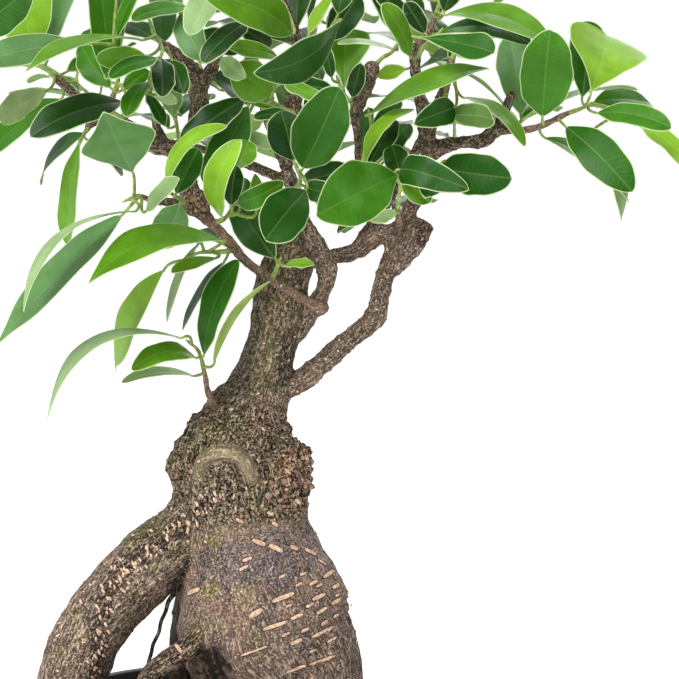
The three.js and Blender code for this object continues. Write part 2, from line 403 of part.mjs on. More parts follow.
// Joins rings of points, which may differ in count, and closes both ends
function skin(rings) {
  const points = rings.flat();
  const triangles = [];
  let start = 0;
  for (let i = 2; i < rings[0].length; i += 1) {
    triangles.push([0, i, i - 1]);
  }
  for (let r = 1; r < rings.length; r += 1) {
    const [below, above] = [rings[r - 1].length, rings[r].length];
    const next = start + below;
    let [i, j] = [0, 0];
    while (i < below || j < above) {
      const low = start + (i % below);
      const high = next + (j % above);
      if (j * below < i * above || i === below) {
        triangles.push([low, next + ((j + 1) % above), high]);
        j += 1;
      } else {
        triangles.push([low, start + ((i + 1) % below), high]);
        i += 1;
      }
    }
    start = next;
  }
  const last = rings[rings.length - 1].length;
  for (let i = 2; i < last; i += 1) {
    triangles.push([start, start + i - 1, start + i]);
  }
  return solidOf(points, triangles.filter(([a, b, c]) => a !== b && b !== c && a !== c));
}

// A limb with an oval section at each point. A narrower ring beyond each end rounds it.
function limbSolid(stations, sides, grow) {
  const rings = [];
  const last = stations.length - 1;
  const addRing = (centre, along, radius, depthRadius) => {
    const across = new THREE.Vector3().crossVectors(along, toViewer).normalize();
    const deep = new THREE.Vector3().crossVectors(across, along);
    const ring = [];
    for (let k = 0; k < sides; k += 1) {
      const angle = (2 * Math.PI * k) / sides;
      ring.push(centre.clone().addScaledVector(across, (radius + grow) * Math.cos(angle))
        .addScaledVector(deep, (depthRadius + grow) * Math.sin(angle)));
    }
    rings.push(ring);
  };
  stations.forEach(({ centre, radius, depthRadius }, i) => {
    const before = stations[Math.max(i - 1, 0)].centre;
    const after = stations[Math.min(i + 1, last)].centre;
    const along = after.clone().sub(before).normalize();
    if (i === 0) {
      addRing(centre.clone().addScaledVector(along, -endRing.reach * radius - grow), along,
        endRing.share * radius, endRing.share * depthRadius);
    }
    addRing(centre, along, radius, depthRadius);
    if (i === last) {
      addRing(centre.clone().addScaledVector(along, endRing.reach * radius + grow), along,
        endRing.share * radius, endRing.share * depthRadius);
    }
  });
  return skin(rings);
}

function stationsOf(points) {
  return points.map(([across, down, depth, radius, depthRadius]) => (
    { centre: place(across, down, depth), radius, depthRadius: depthRadius ?? radius }));
}

function makeWood(grow) {
  let wood = null;
  const join = (solid) => {
    wood = wood ? wood.add(solid) : solid;
  };
  for (const { sides, points } of Object.values(limbs)) {
    join(limbSolid(stationsOf(points), sides, grow));
  }
  for (const [across, down, depth, radius] of lumps) {
    const ball = new THREE.SphereGeometry(radius + grow, lumpSides.round, lumpSides.rise);
    const centre = place(across, down, depth);
    ball.translate(centre.x, centre.y, centre.z);
    join(solidOfGeometry(ball));
  }
  return largestBody(wood);
}

function largestBody(solid) {
  const bodies = solid.decompose();
  return bodies.reduce((best, body) => (body.volume() > best.volume() ? body : best));
}

// The outline of the pot's wall at a height, on its outside, below the band
function potRadius(height) {
  return THREE.MathUtils.lerp(pot.baseRadius, pot.rimRadius - pot.bandStep, height / pot.height);
}

function makePot() {
  const bandBase = pot.height - pot.bandHeight;
  const outline = [
    [0, 0], [pot.baseRadius - pot.footBevel, 0], [pot.baseRadius, pot.footBevel],
    [potRadius(bandBase), bandBase],
    [pot.rimRadius - pot.bandSlope, bandBase + pot.bandSlope], [pot.rimRadius, pot.height - pot.rimBevel],
    [pot.rimRadius - pot.rimBevel, pot.height], [pot.rimRadius - pot.rimWall, pot.height],
    [potRadius(pot.floor) - pot.wall, pot.floor], [0, pot.floor],
  ].map(([x, y]) => new THREE.Vector2(x, y));
  const body = new THREE.LatheGeometry(outline, pot.sides).rotateX(Math.PI / 2);
  let solid = solidOfGeometry(body);
  for (let i = 0; i < pot.holes; i += 1) {
    const angle = (2 * Math.PI * (i + 0.5)) / pot.holes;
    const drill = new THREE.CylinderGeometry(pot.holeRadius, pot.holeRadius, 4 * pot.floor, pot.holeSides);
    drill.rotateX(Math.PI / 2);
    drill.translate(pot.holeCircle * Math.cos(angle), pot.holeCircle * Math.sin(angle), 0);
    solid = solid.subtract(solidOfGeometry(drill));
  }
  return solid;
}

// The soil follows the pot's inside, with a hole round each root
function makeSoil(grownWood) {
  const inner = (height) => THREE.MathUtils.mapLinear(height, pot.floor, pot.height,
    potRadius(pot.floor) - pot.wall, pot.rimRadius - pot.rimWall) - 2 * seatGap;
  const bottom = pot.floor + seatGap;
  const outline = [
    [0, bottom], [inner(bottom), bottom], [inner(soil.level - soil.edge), soil.level - soil.edge],
    [inner(soil.level) - soil.edgeInset, soil.level],
    [inner(soil.level) * soil.shoulder, soil.level + soil.shoulderRise * soil.crown],
    [0, soil.level + soil.crown],
  ].map(([x, y]) => new THREE.Vector2(x, y));
  const body = new THREE.LatheGeometry(outline, soil.sides).rotateX(Math.PI / 2);
  return largestBody(solidOfGeometry(body).subtract(grownWood));
}

// Half the width of a blade along its length, as a share of its greatest, which is at the peak
function bladeShape(along, peak) {
  const basePower = blade.tipPower * peak / (1 - peak);
  const greatest = peak ** basePower * (1 - peak) ** blade.tipPower;
  return along ** basePower * (1 - along) ** blade.tipPower / greatest;
}

function bladePoint(leaf, along, side) {
  const half = 0.5 * leaf.width * bladeShape(along, leaf.peak) * side;
  const rise = leaf.arch * leaf.length * 4 * along * (1 - along) + blade.fold * Math.abs(half);
  return leaf.base.clone().addScaledVector(leaf.axis, along * leaf.length)
    .addScaledVector(leaf.normal, rise).addScaledVector(leaf.lateral, half);
}

// Sets the leaf's axes from its base, tip and the way that its upper side faces
function poseLeaf(leaf) {
  const run = leaf.tip.clone().sub(leaf.base);
  leaf.length = run.length();
  leaf.axis = run.divideScalar(leaf.length);
  if (leaf.seenWidth) {
    leaf.width = Math.max(blade.widthRatio * leaf.length, leaf.seenWidth);
    const front = toViewer.clone().addScaledVector(leaf.axis, -toViewer.dot(leaf.axis)).normalize();
    const over = new THREE.Vector3().crossVectors(leaf.axis, front);
    const lean = (over.z < 0 ? -1 : 1) * (Math.abs(leaf.side) > 1 ? -1 : 1);
    const tilt = Math.acos(Math.min(leaf.seenWidth / leaf.width, 1));
    leaf.normal = front.multiplyScalar(Math.sign(leaf.side) * Math.cos(tilt))
      .addScaledVector(over, lean * Math.sin(tilt));
  } else {
    leaf.width = blade.widthRatio * leaf.length;
    leaf.normal = upwards.clone().addScaledVector(leaf.axis, -upwards.dot(leaf.axis)).normalize();
  }
  leaf.lateral = new THREE.Vector3().crossVectors(leaf.axis, leaf.normal);
}

// The twig as straight pieces, each with its distance from the twig's start
function twigPieces(twig) {
  let walked = 0;
  return twig.slice(1).map(({ centre }, i) => {
    const line = new THREE.Line3(twig[i].centre, centre);
    const piece = { line, from: walked, length: line.distance() };
    walked += piece.length;
    return piece;
  });
}

function twigPoint(pieces, distance) {
  const piece = pieces.find(({ from, length }) => distance <= from + length) ?? pieces[pieces.length - 1];
  return piece.line.at((distance - piece.from) / piece.length, new THREE.Vector3());
}

// Where a leaf's stalk leaves the twig: at its nearest place, then back until no other stalk or bend is there
function stalkPlace(pieces, point, taken) {
  const nearest = pieces.map((piece) => {
    const share = piece.line.closestPointToPointParameter(point, true);
    const spot = piece.line.at(share, new THREE.Vector3());
    return { distance: piece.from + share * piece.length, apart: spot.distanceTo(point) };
  }).reduce((best, spot) => (spot.apart < best.apart ? spot : best));
  const last = pieces[pieces.length - 1];
  const most = last.from + last.length - joint.end;
  let distance = Math.max(Math.min(nearest.distance, most), joint.start);
  const crowded = () => taken.some((other) => Math.abs(other - distance) < joint.apart)
    || pieces.some(({ from }) => Math.abs(from - distance) < joint.fromBend);
  while (crowded() && distance > joint.start) {
    distance -= joint.step;
  }
  return distance;
}

function drawnStem(name, { twig, leaves }) {
  const stations = stationsOf(twig.map(([across, down, depth, radius]) => (
    [across, down, depth, Math.max(radius, leastTwigRadius)])));
  return {
    name,
    twig: stations,
    leaves: leaves.map(([baseX, baseY, tipX, tipY, seen, baseDepth, tipDepth, side, arch, peak]) => ({
      base: place(baseX, baseY, baseDepth), tip: place(tipX, tipY, tipDepth),
      seenWidth: seen * view.scale, side, arch, peak: peak ?? blade.peak,
    })),
  };
}

function ruledStem(name, [across, down, depth, bearing, rise, length, count], random) {
  const direction = (azimuth, elevation) => {
    const [a, e] = [azimuth, elevation].map(THREE.MathUtils.degToRad);
    return new THREE.Vector3(Math.cos(e) * Math.cos(a), Math.cos(e) * Math.sin(a), Math.sin(e));
  };
  const start = place(across, down, depth);
  const forward = direction(bearing, rise);
  const twig = [0, 0.35, 0.7, 1].map((share) => {
    const radius = Math.max(THREE.MathUtils.lerp(farRule.radius, farRule.tipRadius, share), leastTwigRadius);
    const centre = start.clone().addScaledVector(forward, share * length)
      .addScaledVector(upwards, farRule.lift * share * share);
    return { centre, radius, depthRadius: radius };
  });
  const leaves = [];
  for (let i = 0; i < count; i += 1) {
    const share = THREE.MathUtils.lerp(farRule.firstLeaf, 1, i / (count - 1));
    const azimuth = bearing + farRule.firstTurn + i * farRule.turn + farRule.turnSpread * (random() - 0.5);
    const elevation = farRule.rise + farRule.riseSpread * (random() - 0.5);
    const leafLength = farRule.length + farRule.lengthSpread * (random() - 0.5);
    const heading = direction(azimuth, elevation).addScaledVector(forward, farRule.forward).normalize();
    const base = start.clone().addScaledVector(forward, share * length)
      .addScaledVector(upwards, farRule.lift * share * share).addScaledVector(heading, farRule.stalk);
    const tip = base.clone().addScaledVector(heading, leafLength)
      .addScaledVector(upwards, -farRule.droop * leafLength);
    leaves.push({ base, tip, arch: farRule.arch, peak: blade.peak });
  }
  return { name, twig, leaves };
}

function bladeSamples(leaf) {
  const samples = [];
  for (let i = 0; i < sampling.along; i += 1) {
    for (let j = 0; j < sampling.across; j += 1) {
      samples.push(bladePoint(leaf, i / (sampling.along - 1), (2 * j) / (sampling.across - 1) - 1));
    }
  }
  return samples;
}

function stalkSamples(leaf) {
  const samples = [];
  for (let i = 1; i <= sampling.stalk; i += 1) {
    samples.push(leaf.anchor.clone().lerp(leaf.base, i / sampling.stalk));
  }
  return samples;
}

function clearOfPoints(samples, others, distance) {
  const limit = distance * distance;
  return samples.every((a) => others.every((b) => a.distanceToSquared(b) >= limit));
}

function clearOfRods(samples, rods, distance) {
  const spot = new THREE.Vector3();
  return rods.every(({ line, radius }) => samples.every((sample) => {
    line.closestPointToPoint(sample, true, spot);
    return spot.distanceTo(sample) >= radius + distance;
  }));
}

function rodsOf(stations) {
  return stations.slice(1).map(({ centre, radius }, i) => (
    { line: new THREE.Line3(stations[i].centre, centre), radius: Math.max(radius, stations[i].radius) }));
}

// A leaf stays where no blade, stalk, twig or branch is in its way
function leafIsClear(leaf, stem, placed, stemRods, woodRods) {
  const clearFromKin = leaf.blade.slice(sampling.skipped * sampling.across);
  for (const other of placed) {
    const kin = other.stem === stem;
    const reach = leaf.length + other.length + room.blade;
    if (leaf.base.distanceTo(other.base) > reach) {
      continue;
    }
    const own = kin ? clearFromKin : leaf.blade;
    const theirs = kin ? other.blade.slice(sampling.skipped * sampling.across) : other.blade;
    if (!clearOfPoints(own, theirs, kin ? room.kinBlade : room.blade)) {
      return false;
    }
    if (!clearOfPoints(own, other.stalk, room.stalk) || !clearOfPoints(leaf.stalk, theirs, room.stalk)) {
      return false;
    }
  }
  for (const [name, rods] of stemRods) {
    const own = name === stem;
    if (!clearOfRods(own ? clearFromKin : leaf.blade, rods, room.twig)) {
      return false;
    }
    if (!own && !clearOfRods(leaf.stalk, rods, room.twig)) {
      return false;
    }
  }
  return clearOfRods(leaf.blade, woodRods, room.wood)
    && clearOfRods(leaf.stalk.slice(1), woodRods, room.wood);
}

// Places every leaf in turn, shifted until it is clear of those before it, or left out
function placeLeaves(stemList) {
  const woodRods = Object.values(limbs).flatMap(({ points }) => rodsOf(stationsOf(points)));
  const stemRods = stemList.map(({ name, twig }) => [name, rodsOf(twig)]);
  const placed = [];
  for (const { name, twig, leaves } of stemList) {
    const pieces = twigPieces(twig);
    const taken = [];
    for (const wanted of leaves) {
      for (const shift of shifts) {
        const offset = new THREE.Vector3(...shift);
        const leaf = { ...wanted, stem: name };
        leaf.tip = wanted.tip.clone().add(offset);
        leaf.base = wanted.base.clone().addScaledVector(offset, baseFollows);
        poseLeaf(leaf);
        const distance = stalkPlace(pieces, leaf.base, taken);
        leaf.anchor = twigPoint(pieces, distance);
        leaf.blade = bladeSamples(leaf);
        leaf.stalk = stalkSamples(leaf);
        if (leafIsClear(leaf, name, placed, stemRods, woodRods)) {
          placed.push(leaf);
          taken.push(distance);
          break;
        }
      }
    }
  }
  return placed;
}

// A leaf is one skin: a three-sided stalk, then a folded blade of even thickness that ends in a point
function leafSolid(leaf) {
  const half = 0.5 * blade.thickness;
  const stalkAxis = leaf.base.clone().sub(leaf.anchor).normalize();
  const bend = stalkAxis.clone().add(leaf.axis).normalize();
  const frameAt = (along) => {
    const lateral = leaf.lateral.clone().addScaledVector(along, -leaf.lateral.dot(along)).normalize();
    return [lateral, new THREE.Vector3().crossVectors(lateral, along)];
  };
  const stalkRing = (centre, along, radius) => {
    const [lateral, normal] = frameAt(along);
    return stalkSection.map(([x, y]) => centre.clone().addScaledVector(lateral, x * radius)
      .addScaledVector(normal, y * radius));
  };
  const rings = [
    stalkRing(leaf.anchor, stalkAxis, blade.stalkRadius), stalkRing(leaf.base, bend, blade.neckRadius),
  ];
  for (const along of leaf.length > blade.longFrom ? blade.longRings : blade.shortRings) {
    const edges = [-1, 0, 1].map((side) => bladePoint(leaf, along, side));
    const [left, middle, right] = edges;
    const under = (point) => point.clone().addScaledVector(leaf.normal, -half);
    const over = (point) => point.clone().addScaledVector(leaf.normal, half);
    rings.push([over(left), under(left), under(middle), under(right), over(right), over(middle)]);
  }
  rings.push([bladePoint(leaf, 1, 0)]);
  return skin(rings);
}

function makeStem({ name, twig }, placed, grownWood) {
  let solid = limbSolid(twig, twigSides, 0);
  for (const leaf of placed.filter(({ stem }) => stem === name)) {
    solid = solid.add(leafSolid(leaf));
  }
  return largestBody(solid.subtract(grownWood));
}

const material = (color, roughness) => new THREE.MeshStandardMaterial({ color, roughness, metalness: 0 });
const bonsai = new THREE.Group();

function addPiece(name, solid, finish) {
  const mesh = new THREE.Mesh(geometryOf(solid), finish);
  mesh.name = name;
  bonsai.add(mesh);
}

const grownWood = makeWood(seatGap);
const random = makeRandom(farRule.seed);
const stemList = [
  ...Object.entries(stems).map(([name, rows]) => drawnStem(name, rows)),
  ...farStems.map((row, i) => ruledStem(`leafyStemFar${i + 1}`, row, random)),
];
const placedLeaves = placeLeaves(stemList);

addPiece('pot', makePot(), material(palette.pot, 0.45));
addPiece('soil', makeSoil(grownWood), material(palette.soil, 0.95));
addPiece('wood', makeWood(0), material(palette.wood, 0.85));
const leafFinish = material(palette.leaves, 0.4);
for (const stem of stemList) {
  addPiece(stem.name, makeStem(stem, placedLeaves, grownWood), leafFinish);
}

export default bonsai;
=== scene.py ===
import math

import bmesh
import bpy
import numpy as np
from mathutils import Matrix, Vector, noise
from mathutils.bvhtree import BVHTree


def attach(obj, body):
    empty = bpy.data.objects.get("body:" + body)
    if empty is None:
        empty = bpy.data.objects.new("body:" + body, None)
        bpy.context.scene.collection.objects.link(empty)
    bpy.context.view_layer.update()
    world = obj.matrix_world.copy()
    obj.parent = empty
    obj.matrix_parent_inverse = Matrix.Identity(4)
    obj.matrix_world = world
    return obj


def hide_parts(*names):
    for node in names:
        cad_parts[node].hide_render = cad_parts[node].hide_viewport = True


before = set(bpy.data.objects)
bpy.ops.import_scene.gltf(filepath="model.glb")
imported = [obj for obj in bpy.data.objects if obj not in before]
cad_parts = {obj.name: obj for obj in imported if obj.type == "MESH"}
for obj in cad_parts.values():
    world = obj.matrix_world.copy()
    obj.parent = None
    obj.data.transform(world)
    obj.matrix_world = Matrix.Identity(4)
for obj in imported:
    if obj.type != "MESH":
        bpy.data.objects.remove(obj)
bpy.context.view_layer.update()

# The front view that every table below is read from, 679 by 679 points. A place in it is
# [across, down], and a depth behind the pot's axis sets the rest. Lengths are in millimetres.
frontView = {
    "size": 679, "centre": 339.5, "scale": 0.45, "distance": 1100.0, "pitch": math.radians(7),
    "target": (57.4, 0.0, 265.5), "sensor": 36.0,
}
millimetre = 0.001
toViewer = np.array((0.0, -1.0, 0.0))
upwards = np.array((0.0, 0.0, 1.0))
cosPitch, sinPitch = math.cos(frontView["pitch"]), math.sin(frontView["pitch"])
focal = frontView["distance"] / frontView["scale"]
# Where the viewer stands
eye = np.array((frontView["target"][0], -frontView["distance"] * cosPitch,
                frontView["target"][2] + frontView["distance"] * sinPitch))


def place(across, down, depth):
    right = (across - frontView["centre"]) / focal
    rise = (frontView["centre"] - down) / focal
    reach = (depth - eye[1]) / (cosPitch + rise * sinPitch)
    return np.array((eye[0] + reach * right, depth, eye[2] + reach * (rise * cosPitch - sinPitch)))


# Where points in millimetres fall in the front view
def seenPlaces(points):
    away = points - eye
    forward = away[:, 1] * cosPitch - away[:, 2] * sinPitch
    rise = away[:, 1] * sinPitch + away[:, 2] * cosPitch
    return np.stack((frontView["centre"] + focal * away[:, 0] / forward,
                     frontView["centre"] - focal * rise / forward), 1)


def tint(red, green, blue):
    return tuple(c / 12.92 if c <= 0.04045 else ((c + 0.055) / 1.055) ** 2.4
                 for c in (red / 255, green / 255, blue / 255))


# The same numbers from 0 to 1 at every run
def makeRandom(seed):
    state = [seed]

    def draw():
        state[0] = (state[0] * 1664525 + 1013904223) % 4294967296
        return state[0] / 4294967296

    return draw


def unit(vector):
    return vector / np.linalg.norm(vector)


# Where the viewer's ray through a place first meets a body, and the body's normal there
def frontHit(tree, across, down):
    return tree.ray_cast(Vector(eye), Vector(unit(place(across, down, 0.0) - eye)))[:2]


def smoothStep(low, high, value):
    share = np.clip((value - low) / (high - low), 0.0, 1.0)
    return share * share * (3 - 2 * share)


print("stage: camera, lights and floor")
scene = bpy.context.scene
scene.view_settings.view_transform = "Standard"

studio = {
    "floorHalf": 30.0, "floorTint": tint(253, 253, 253), "seenStrength": 1.0, "lightStrength": 0.56,
    "sun": {"from": (-0.5, -0.8, 1.25), "strength": 2.5, "angle": 40},
    # place, target, size and power of each soft light, in metres and watts
    "lights": [
        ("leftLight", (-1.5, -1.3, 0.9), (0.03, 0.0, 0.28), 0.9, 9.0),
        ("backLight", (0.5, 1.5, 1.2), (0.03, 0.0, 0.33), 1.2, 12.0),
    ],
}


def makeStudio():
    cameraData = bpy.data.cameras.new("frontCamera")
    cameraData.sensor_width = frontView["sensor"]
    cameraData.lens = frontView["sensor"] * frontView["distance"] / frontView["scale"] / frontView["size"]
    cameraData.clip_start = 0.05
    camera = bpy.data.objects.new("frontCamera", cameraData)
    camera.location = Vector(eye * millimetre)
    camera.rotation_euler = (math.radians(90) - frontView["pitch"], 0, 0)
    scene.collection.objects.link(camera)
    scene.camera = camera

    world = bpy.data.worlds.new("whiteStudio")
    world.use_nodes = True
    tree = world.node_tree
    background = tree.nodes["Background"]
    background.inputs["Color"].default_value = (1, 1, 1, 1)
    # The backdrop is plain white to the eye and dimmer as a light
    seen = tree.nodes.new("ShaderNodeLightPath")
    strength = tree.nodes.new("ShaderNodeMapRange")
    strength.inputs["To Min"].default_value = studio["lightStrength"]
    strength.inputs["To Max"].default_value = studio["seenStrength"]
    tree.links.new(seen.outputs["Is Camera Ray"], strength.inputs["Value"])
    tree.links.new(strength.outputs["Result"], background.inputs["Strength"])
    scene.world = world

    sun = bpy.data.lights.new("softSun", "SUN")
    sun.energy = studio["sun"]["strength"]
    sun.angle = math.radians(studio["sun"]["angle"])
    sunLamp = bpy.data.objects.new("softSun", sun)
    sunLamp.rotation_euler = (-Vector(studio["sun"]["from"])).to_track_quat("-Z", "Y").to_euler()
    scene.collection.objects.link(sunLamp)

    for name, spot, target, size, power in studio["lights"]:
        light = bpy.data.lights.new(name, "AREA")
        light.shape = "DISK"
        light.size = size
        light.energy = power
        lamp = bpy.data.objects.new(name, light)
        lamp.location = spot
        lamp.rotation_euler = (Vector(target) - Vector(spot)).to_track_quat("-Z", "Y").to_euler()
        scene.collection.objects.link(lamp)

    half = studio["floorHalf"]
    floorMesh = bpy.data.meshes.new("studioFloor")
    floorMesh.from_pydata([(-half, -half, 0), (half, -half, 0), (half, half, 0), (-half, half, 0)], [],
                          [(0, 1, 2, 3)])
    floor = bpy.data.objects.new("studioFloor", floorMesh)
    scene.collection.objects.link(floor)
    finish = bpy.data.materials.new("studioFloor")
    finish.use_nodes = True
    shader = finish.node_tree.nodes["Principled BSDF"]
    shader.inputs["Base Color"].default_value = (*studio["floorTint"], 1)
    shader.inputs["Roughness"].default_value = 0.9
    shader.inputs["Specular IOR Level"].default_value = 0.1
    floorMesh.materials.append(finish)


makeStudio()


# Shader helpers: nodes are made by name and linked by socket name
def addNode(tree, kind, **settings):
    node = tree.nodes.new(kind)
    for key, value in settings.items():
        setattr(node, key, value)
    return node


def linkTo(tree, source, target, socket):
    if isinstance(source, bpy.types.NodeSocket):
        tree.links.new(source, target.inputs[socket])
    else:
        target.inputs[socket].default_value = source


def mathNode(tree, operation, first, second=None, third=None, clamp=False):
    node = addNode(tree, "ShaderNodeMath", operation=operation, use_clamp=clamp)
    for index, value in enumerate((first, second, third)):
        if value is not None:
            linkTo(tree, value, node, index)
    return node.outputs[0]


def timesNode(tree, first, second):
    return mathNode(tree, "MULTIPLY", first, second)


# The first value times the second, plus the third
def timesPlusNode(tree, first, second, third):
    return mathNode(tree, "MULTIPLY_ADD", first, second, third)


def stepNode(tree, value, low, high):
    node = addNode(tree, "ShaderNodeMapRange", interpolation_type="SMOOTHSTEP")
    linkTo(tree, value, node, "Value")
    linkTo(tree, low, node, "From Min")
    linkTo(tree, high, node, "From Max")
    return node.outputs["Result"]


def mixColour(tree, share, first, second, blend="MIX"):
    node = addNode(tree, "ShaderNodeMix", data_type="RGBA", blend_type=blend)
    linkTo(tree, share, node, 0)
    for value, socket in ((first, 6), (second, 7)):
        if isinstance(value, tuple):
            value = (*value[:3], 1.0)
        linkTo(tree, value, node, socket)
    return node.outputs[2]


def noiseNode(tree, place3, scale, detail=2.0, roughness=0.5):
    node = addNode(tree, "ShaderNodeTexNoise", noise_dimensions="3D")
    linkTo(tree, place3, node, "Vector")
    node.inputs["Scale"].default_value = scale
    node.inputs["Detail"].default_value = detail
    node.inputs["Roughness"].default_value = roughness
    return node.outputs["Fac"]


def scaleNode(tree, vector, share):
    node = addNode(tree, "ShaderNodeVectorMath", operation="SCALE")
    linkTo(tree, vector, node, 0)
    linkTo(tree, share, node, "Scale")
    return node.outputs[0]


# A place pushed about by noise, so that cells and cracks run crooked
def warpNode(tree, place3, scale, reach):
    swirl = addNode(tree, "ShaderNodeTexNoise", noise_dimensions="3D")
    linkTo(tree, place3, swirl, "Vector")
    swirl.inputs["Scale"].default_value = scale
    moved = addNode(tree, "ShaderNodeVectorMath", operation="MULTIPLY_ADD")
    linkTo(tree, swirl.outputs["Color"], moved, 0)
    moved.inputs[1].default_value = (reach, reach, reach)
    linkTo(tree, place3, moved, 2)
    return moved.outputs[0]


# How near a point is to the edge of its cell
def edgeNode(tree, place3, scale):
    node = addNode(tree, "ShaderNodeTexVoronoi", feature="DISTANCE_TO_EDGE")
    linkTo(tree, place3, node, "Vector")
    node.inputs["Scale"].default_value = scale
    return node.outputs["Distance"]


def makeGroup(name, inputs, outputs):
    group = bpy.data.node_groups.new(name, "ShaderNodeTree")
    for socketName, kind, default in inputs:
        socket = group.interface.new_socket(name=socketName, in_out="INPUT", socket_type=kind)
        if default is not None:
            socket.default_value = default
    for socketName, kind in outputs:
        group.interface.new_socket(name=socketName, in_out="OUTPUT", socket_type=kind)
    return group, addNode(group, "NodeGroupInput"), addNode(group, "NodeGroupOutput")


def placeGroup(tree, group, **values):
    node = addNode(tree, "ShaderNodeGroup", node_tree=group)
    for socketName, value in values.items():
        if isinstance(value, tuple) and len(value) == 3 and node.inputs[socketName].type == "RGBA":
            value = (*value, 1.0)
        linkTo(tree, value, node, socketName)
    return node


def startMaterial(name):
    material = bpy.data.materials.new(name)
    material.use_nodes = True
    tree = material.node_tree
    return material, tree, tree.nodes["Principled BSDF"]


def readAttribute(tree, name, output):
    return addNode(tree, "ShaderNodeAttribute", attribute_name=name).outputs[output]


def addBump(tree, height, shader, distance, strength=1.0):
    bump = addNode(tree, "ShaderNodeBump")
    bump.inputs["Distance"].default_value = distance
    bump.inputs["Strength"].default_value = strength
    tree.links.new(height, bump.inputs["Height"])
    linkTo(tree, bump.outputs["Normal"], shader, "Normal")


# The bark's noises as scale per millimetre, detail and roughness, its warps as scale and reach, and its
# marks as the values where each begins and where it is full
barkGrain = {
    "fibre": (0.95, 4.0, 0.7), "speckle": (1.05, 3.0, 0.66), "middle": (0.33, 3.0, 0.6),
    "broad": (0.1, 3.0, 0.55), "fibreWarp": (0.7, 0.9), "crackWarp": (0.45, 2.2),
    "crackScale": 0.34, "crack": (0.085, 0.012), "fineScale": 0.8, "fineCrack": (0.11, 0.02),
    "fineWhere": (0.4, 0.55), "furrow": (0.485, 0.42), "pit": (0.475, 0.42), "ridge": (0.53, 0.61),
    "fleck": (0.54, 0.6), "warm": (0.5, 0.68), "warmShare": 0.35, "warmTint": tint(168, 122, 92),
    "darkShare": 0.96, "darkScale": 0.18, "darkMix": 0.7, "darkTint": tint(18, 13, 11),
    "paleScale": 1.8, "paleMix": 0.55, "paleTint": tint(246, 226, 200),
}


# Bark from a place of [across, behind, along] the limb in millimetres: long fibres, crooked cracks,
# dark pits and pale flecks over a tint
def makeGrainGroup():
    group, given, result = makeGroup(
        "woodGrain",
        [("Place", "NodeSocketVector", None), ("Colour", "NodeSocketColor", None),
         ("Scale", "NodeSocketFloat", 1.0), ("Stretch", "NodeSocketFloat", 0.3),
         ("Furrows", "NodeSocketFloat", 0.6), ("Flecks", "NodeSocketFloat", 0.5)],
        [("Colour", "NodeSocketColor"), ("Height", "NodeSocketFloat"), ("Roughness", "NodeSocketFloat")])

    def marked(value, name, share):
        return timesNode(group, stepNode(group, value, *barkGrain[name]), given.outputs[share])

    spot = scaleNode(group, given.outputs["Place"], given.outputs["Scale"])
    parts = addNode(group, "ShaderNodeSeparateXYZ")
    group.links.new(spot, parts.inputs[0])
    drawn = addNode(group, "ShaderNodeCombineXYZ")
    for axis in (0, 1):
        group.links.new(parts.outputs[axis], drawn.inputs[axis])
    group.links.new(timesNode(group, parts.outputs[2], given.outputs["Stretch"]), drawn.inputs[2])
    crooked = warpNode(group, drawn.outputs[0], *barkGrain["crackWarp"])
    waved = warpNode(group, drawn.outputs[0], *barkGrain["fibreWarp"])
    fibre = noiseNode(group, waved, *barkGrain["fibre"])
    speckle, middle, broad = (noiseNode(group, spot, *barkGrain[name])
                              for name in ("speckle", "middle", "broad"))
    crack = stepNode(group, edgeNode(group, crooked, barkGrain["crackScale"]), *barkGrain["crack"])
    fineCrack = stepNode(group, edgeNode(group, crooked, barkGrain["fineScale"]), *barkGrain["fineCrack"])
    patchy = stepNode(group, middle, *barkGrain["fineWhere"])
    cracks = mathNode(group, "MAXIMUM", crack, timesNode(group, fineCrack, patchy))
    fibreDark = stepNode(group, fibre, *barkGrain["furrow"])
    furrow = timesNode(group, mathNode(group, "MAXIMUM", fibreDark, cracks), given.outputs["Furrows"])
    dark = mathNode(group, "MAXIMUM", furrow, marked(speckle, "pit", "Flecks"), clamp=True)
    pale = mathNode(group, "MAXIMUM", marked(fibre, "ridge", "Furrows"), marked(speckle, "fleck", "Flecks"),
                    clamp=True)
    shade = timesPlusNode(group, broad, 1.5, timesPlusNode(group, middle, 1.9, -0.62))
    shaded = scaleNode(group, given.outputs["Colour"], shade)
    warmShare = timesNode(group, stepNode(group, middle, *barkGrain["warm"]), barkGrain["warmShare"])
    warmed = mixColour(group, warmShare, shaded, barkGrain["warmTint"])
    darkTint = mixColour(group, barkGrain["darkMix"], scaleNode(group, warmed, barkGrain["darkScale"]),
                         barkGrain["darkTint"])
    paleTint = mixColour(group, barkGrain["paleMix"], scaleNode(group, warmed, barkGrain["paleScale"]),
                         barkGrain["paleTint"])
    darkened = mixColour(group, timesNode(group, dark, barkGrain["darkShare"]), warmed, darkTint)
    height = mathNode(group, "SUBTRACT", timesPlusNode(group, pale, 0.6, fibre), dark)
    group.links.new(mixColour(group, pale, darkened, paleTint), result.inputs["Colour"])
    linkTo(group, height, result, "Height")
    group.links.new(timesPlusNode(group, dark, 0.15, 0.72), result.inputs["Roughness"])
    return group


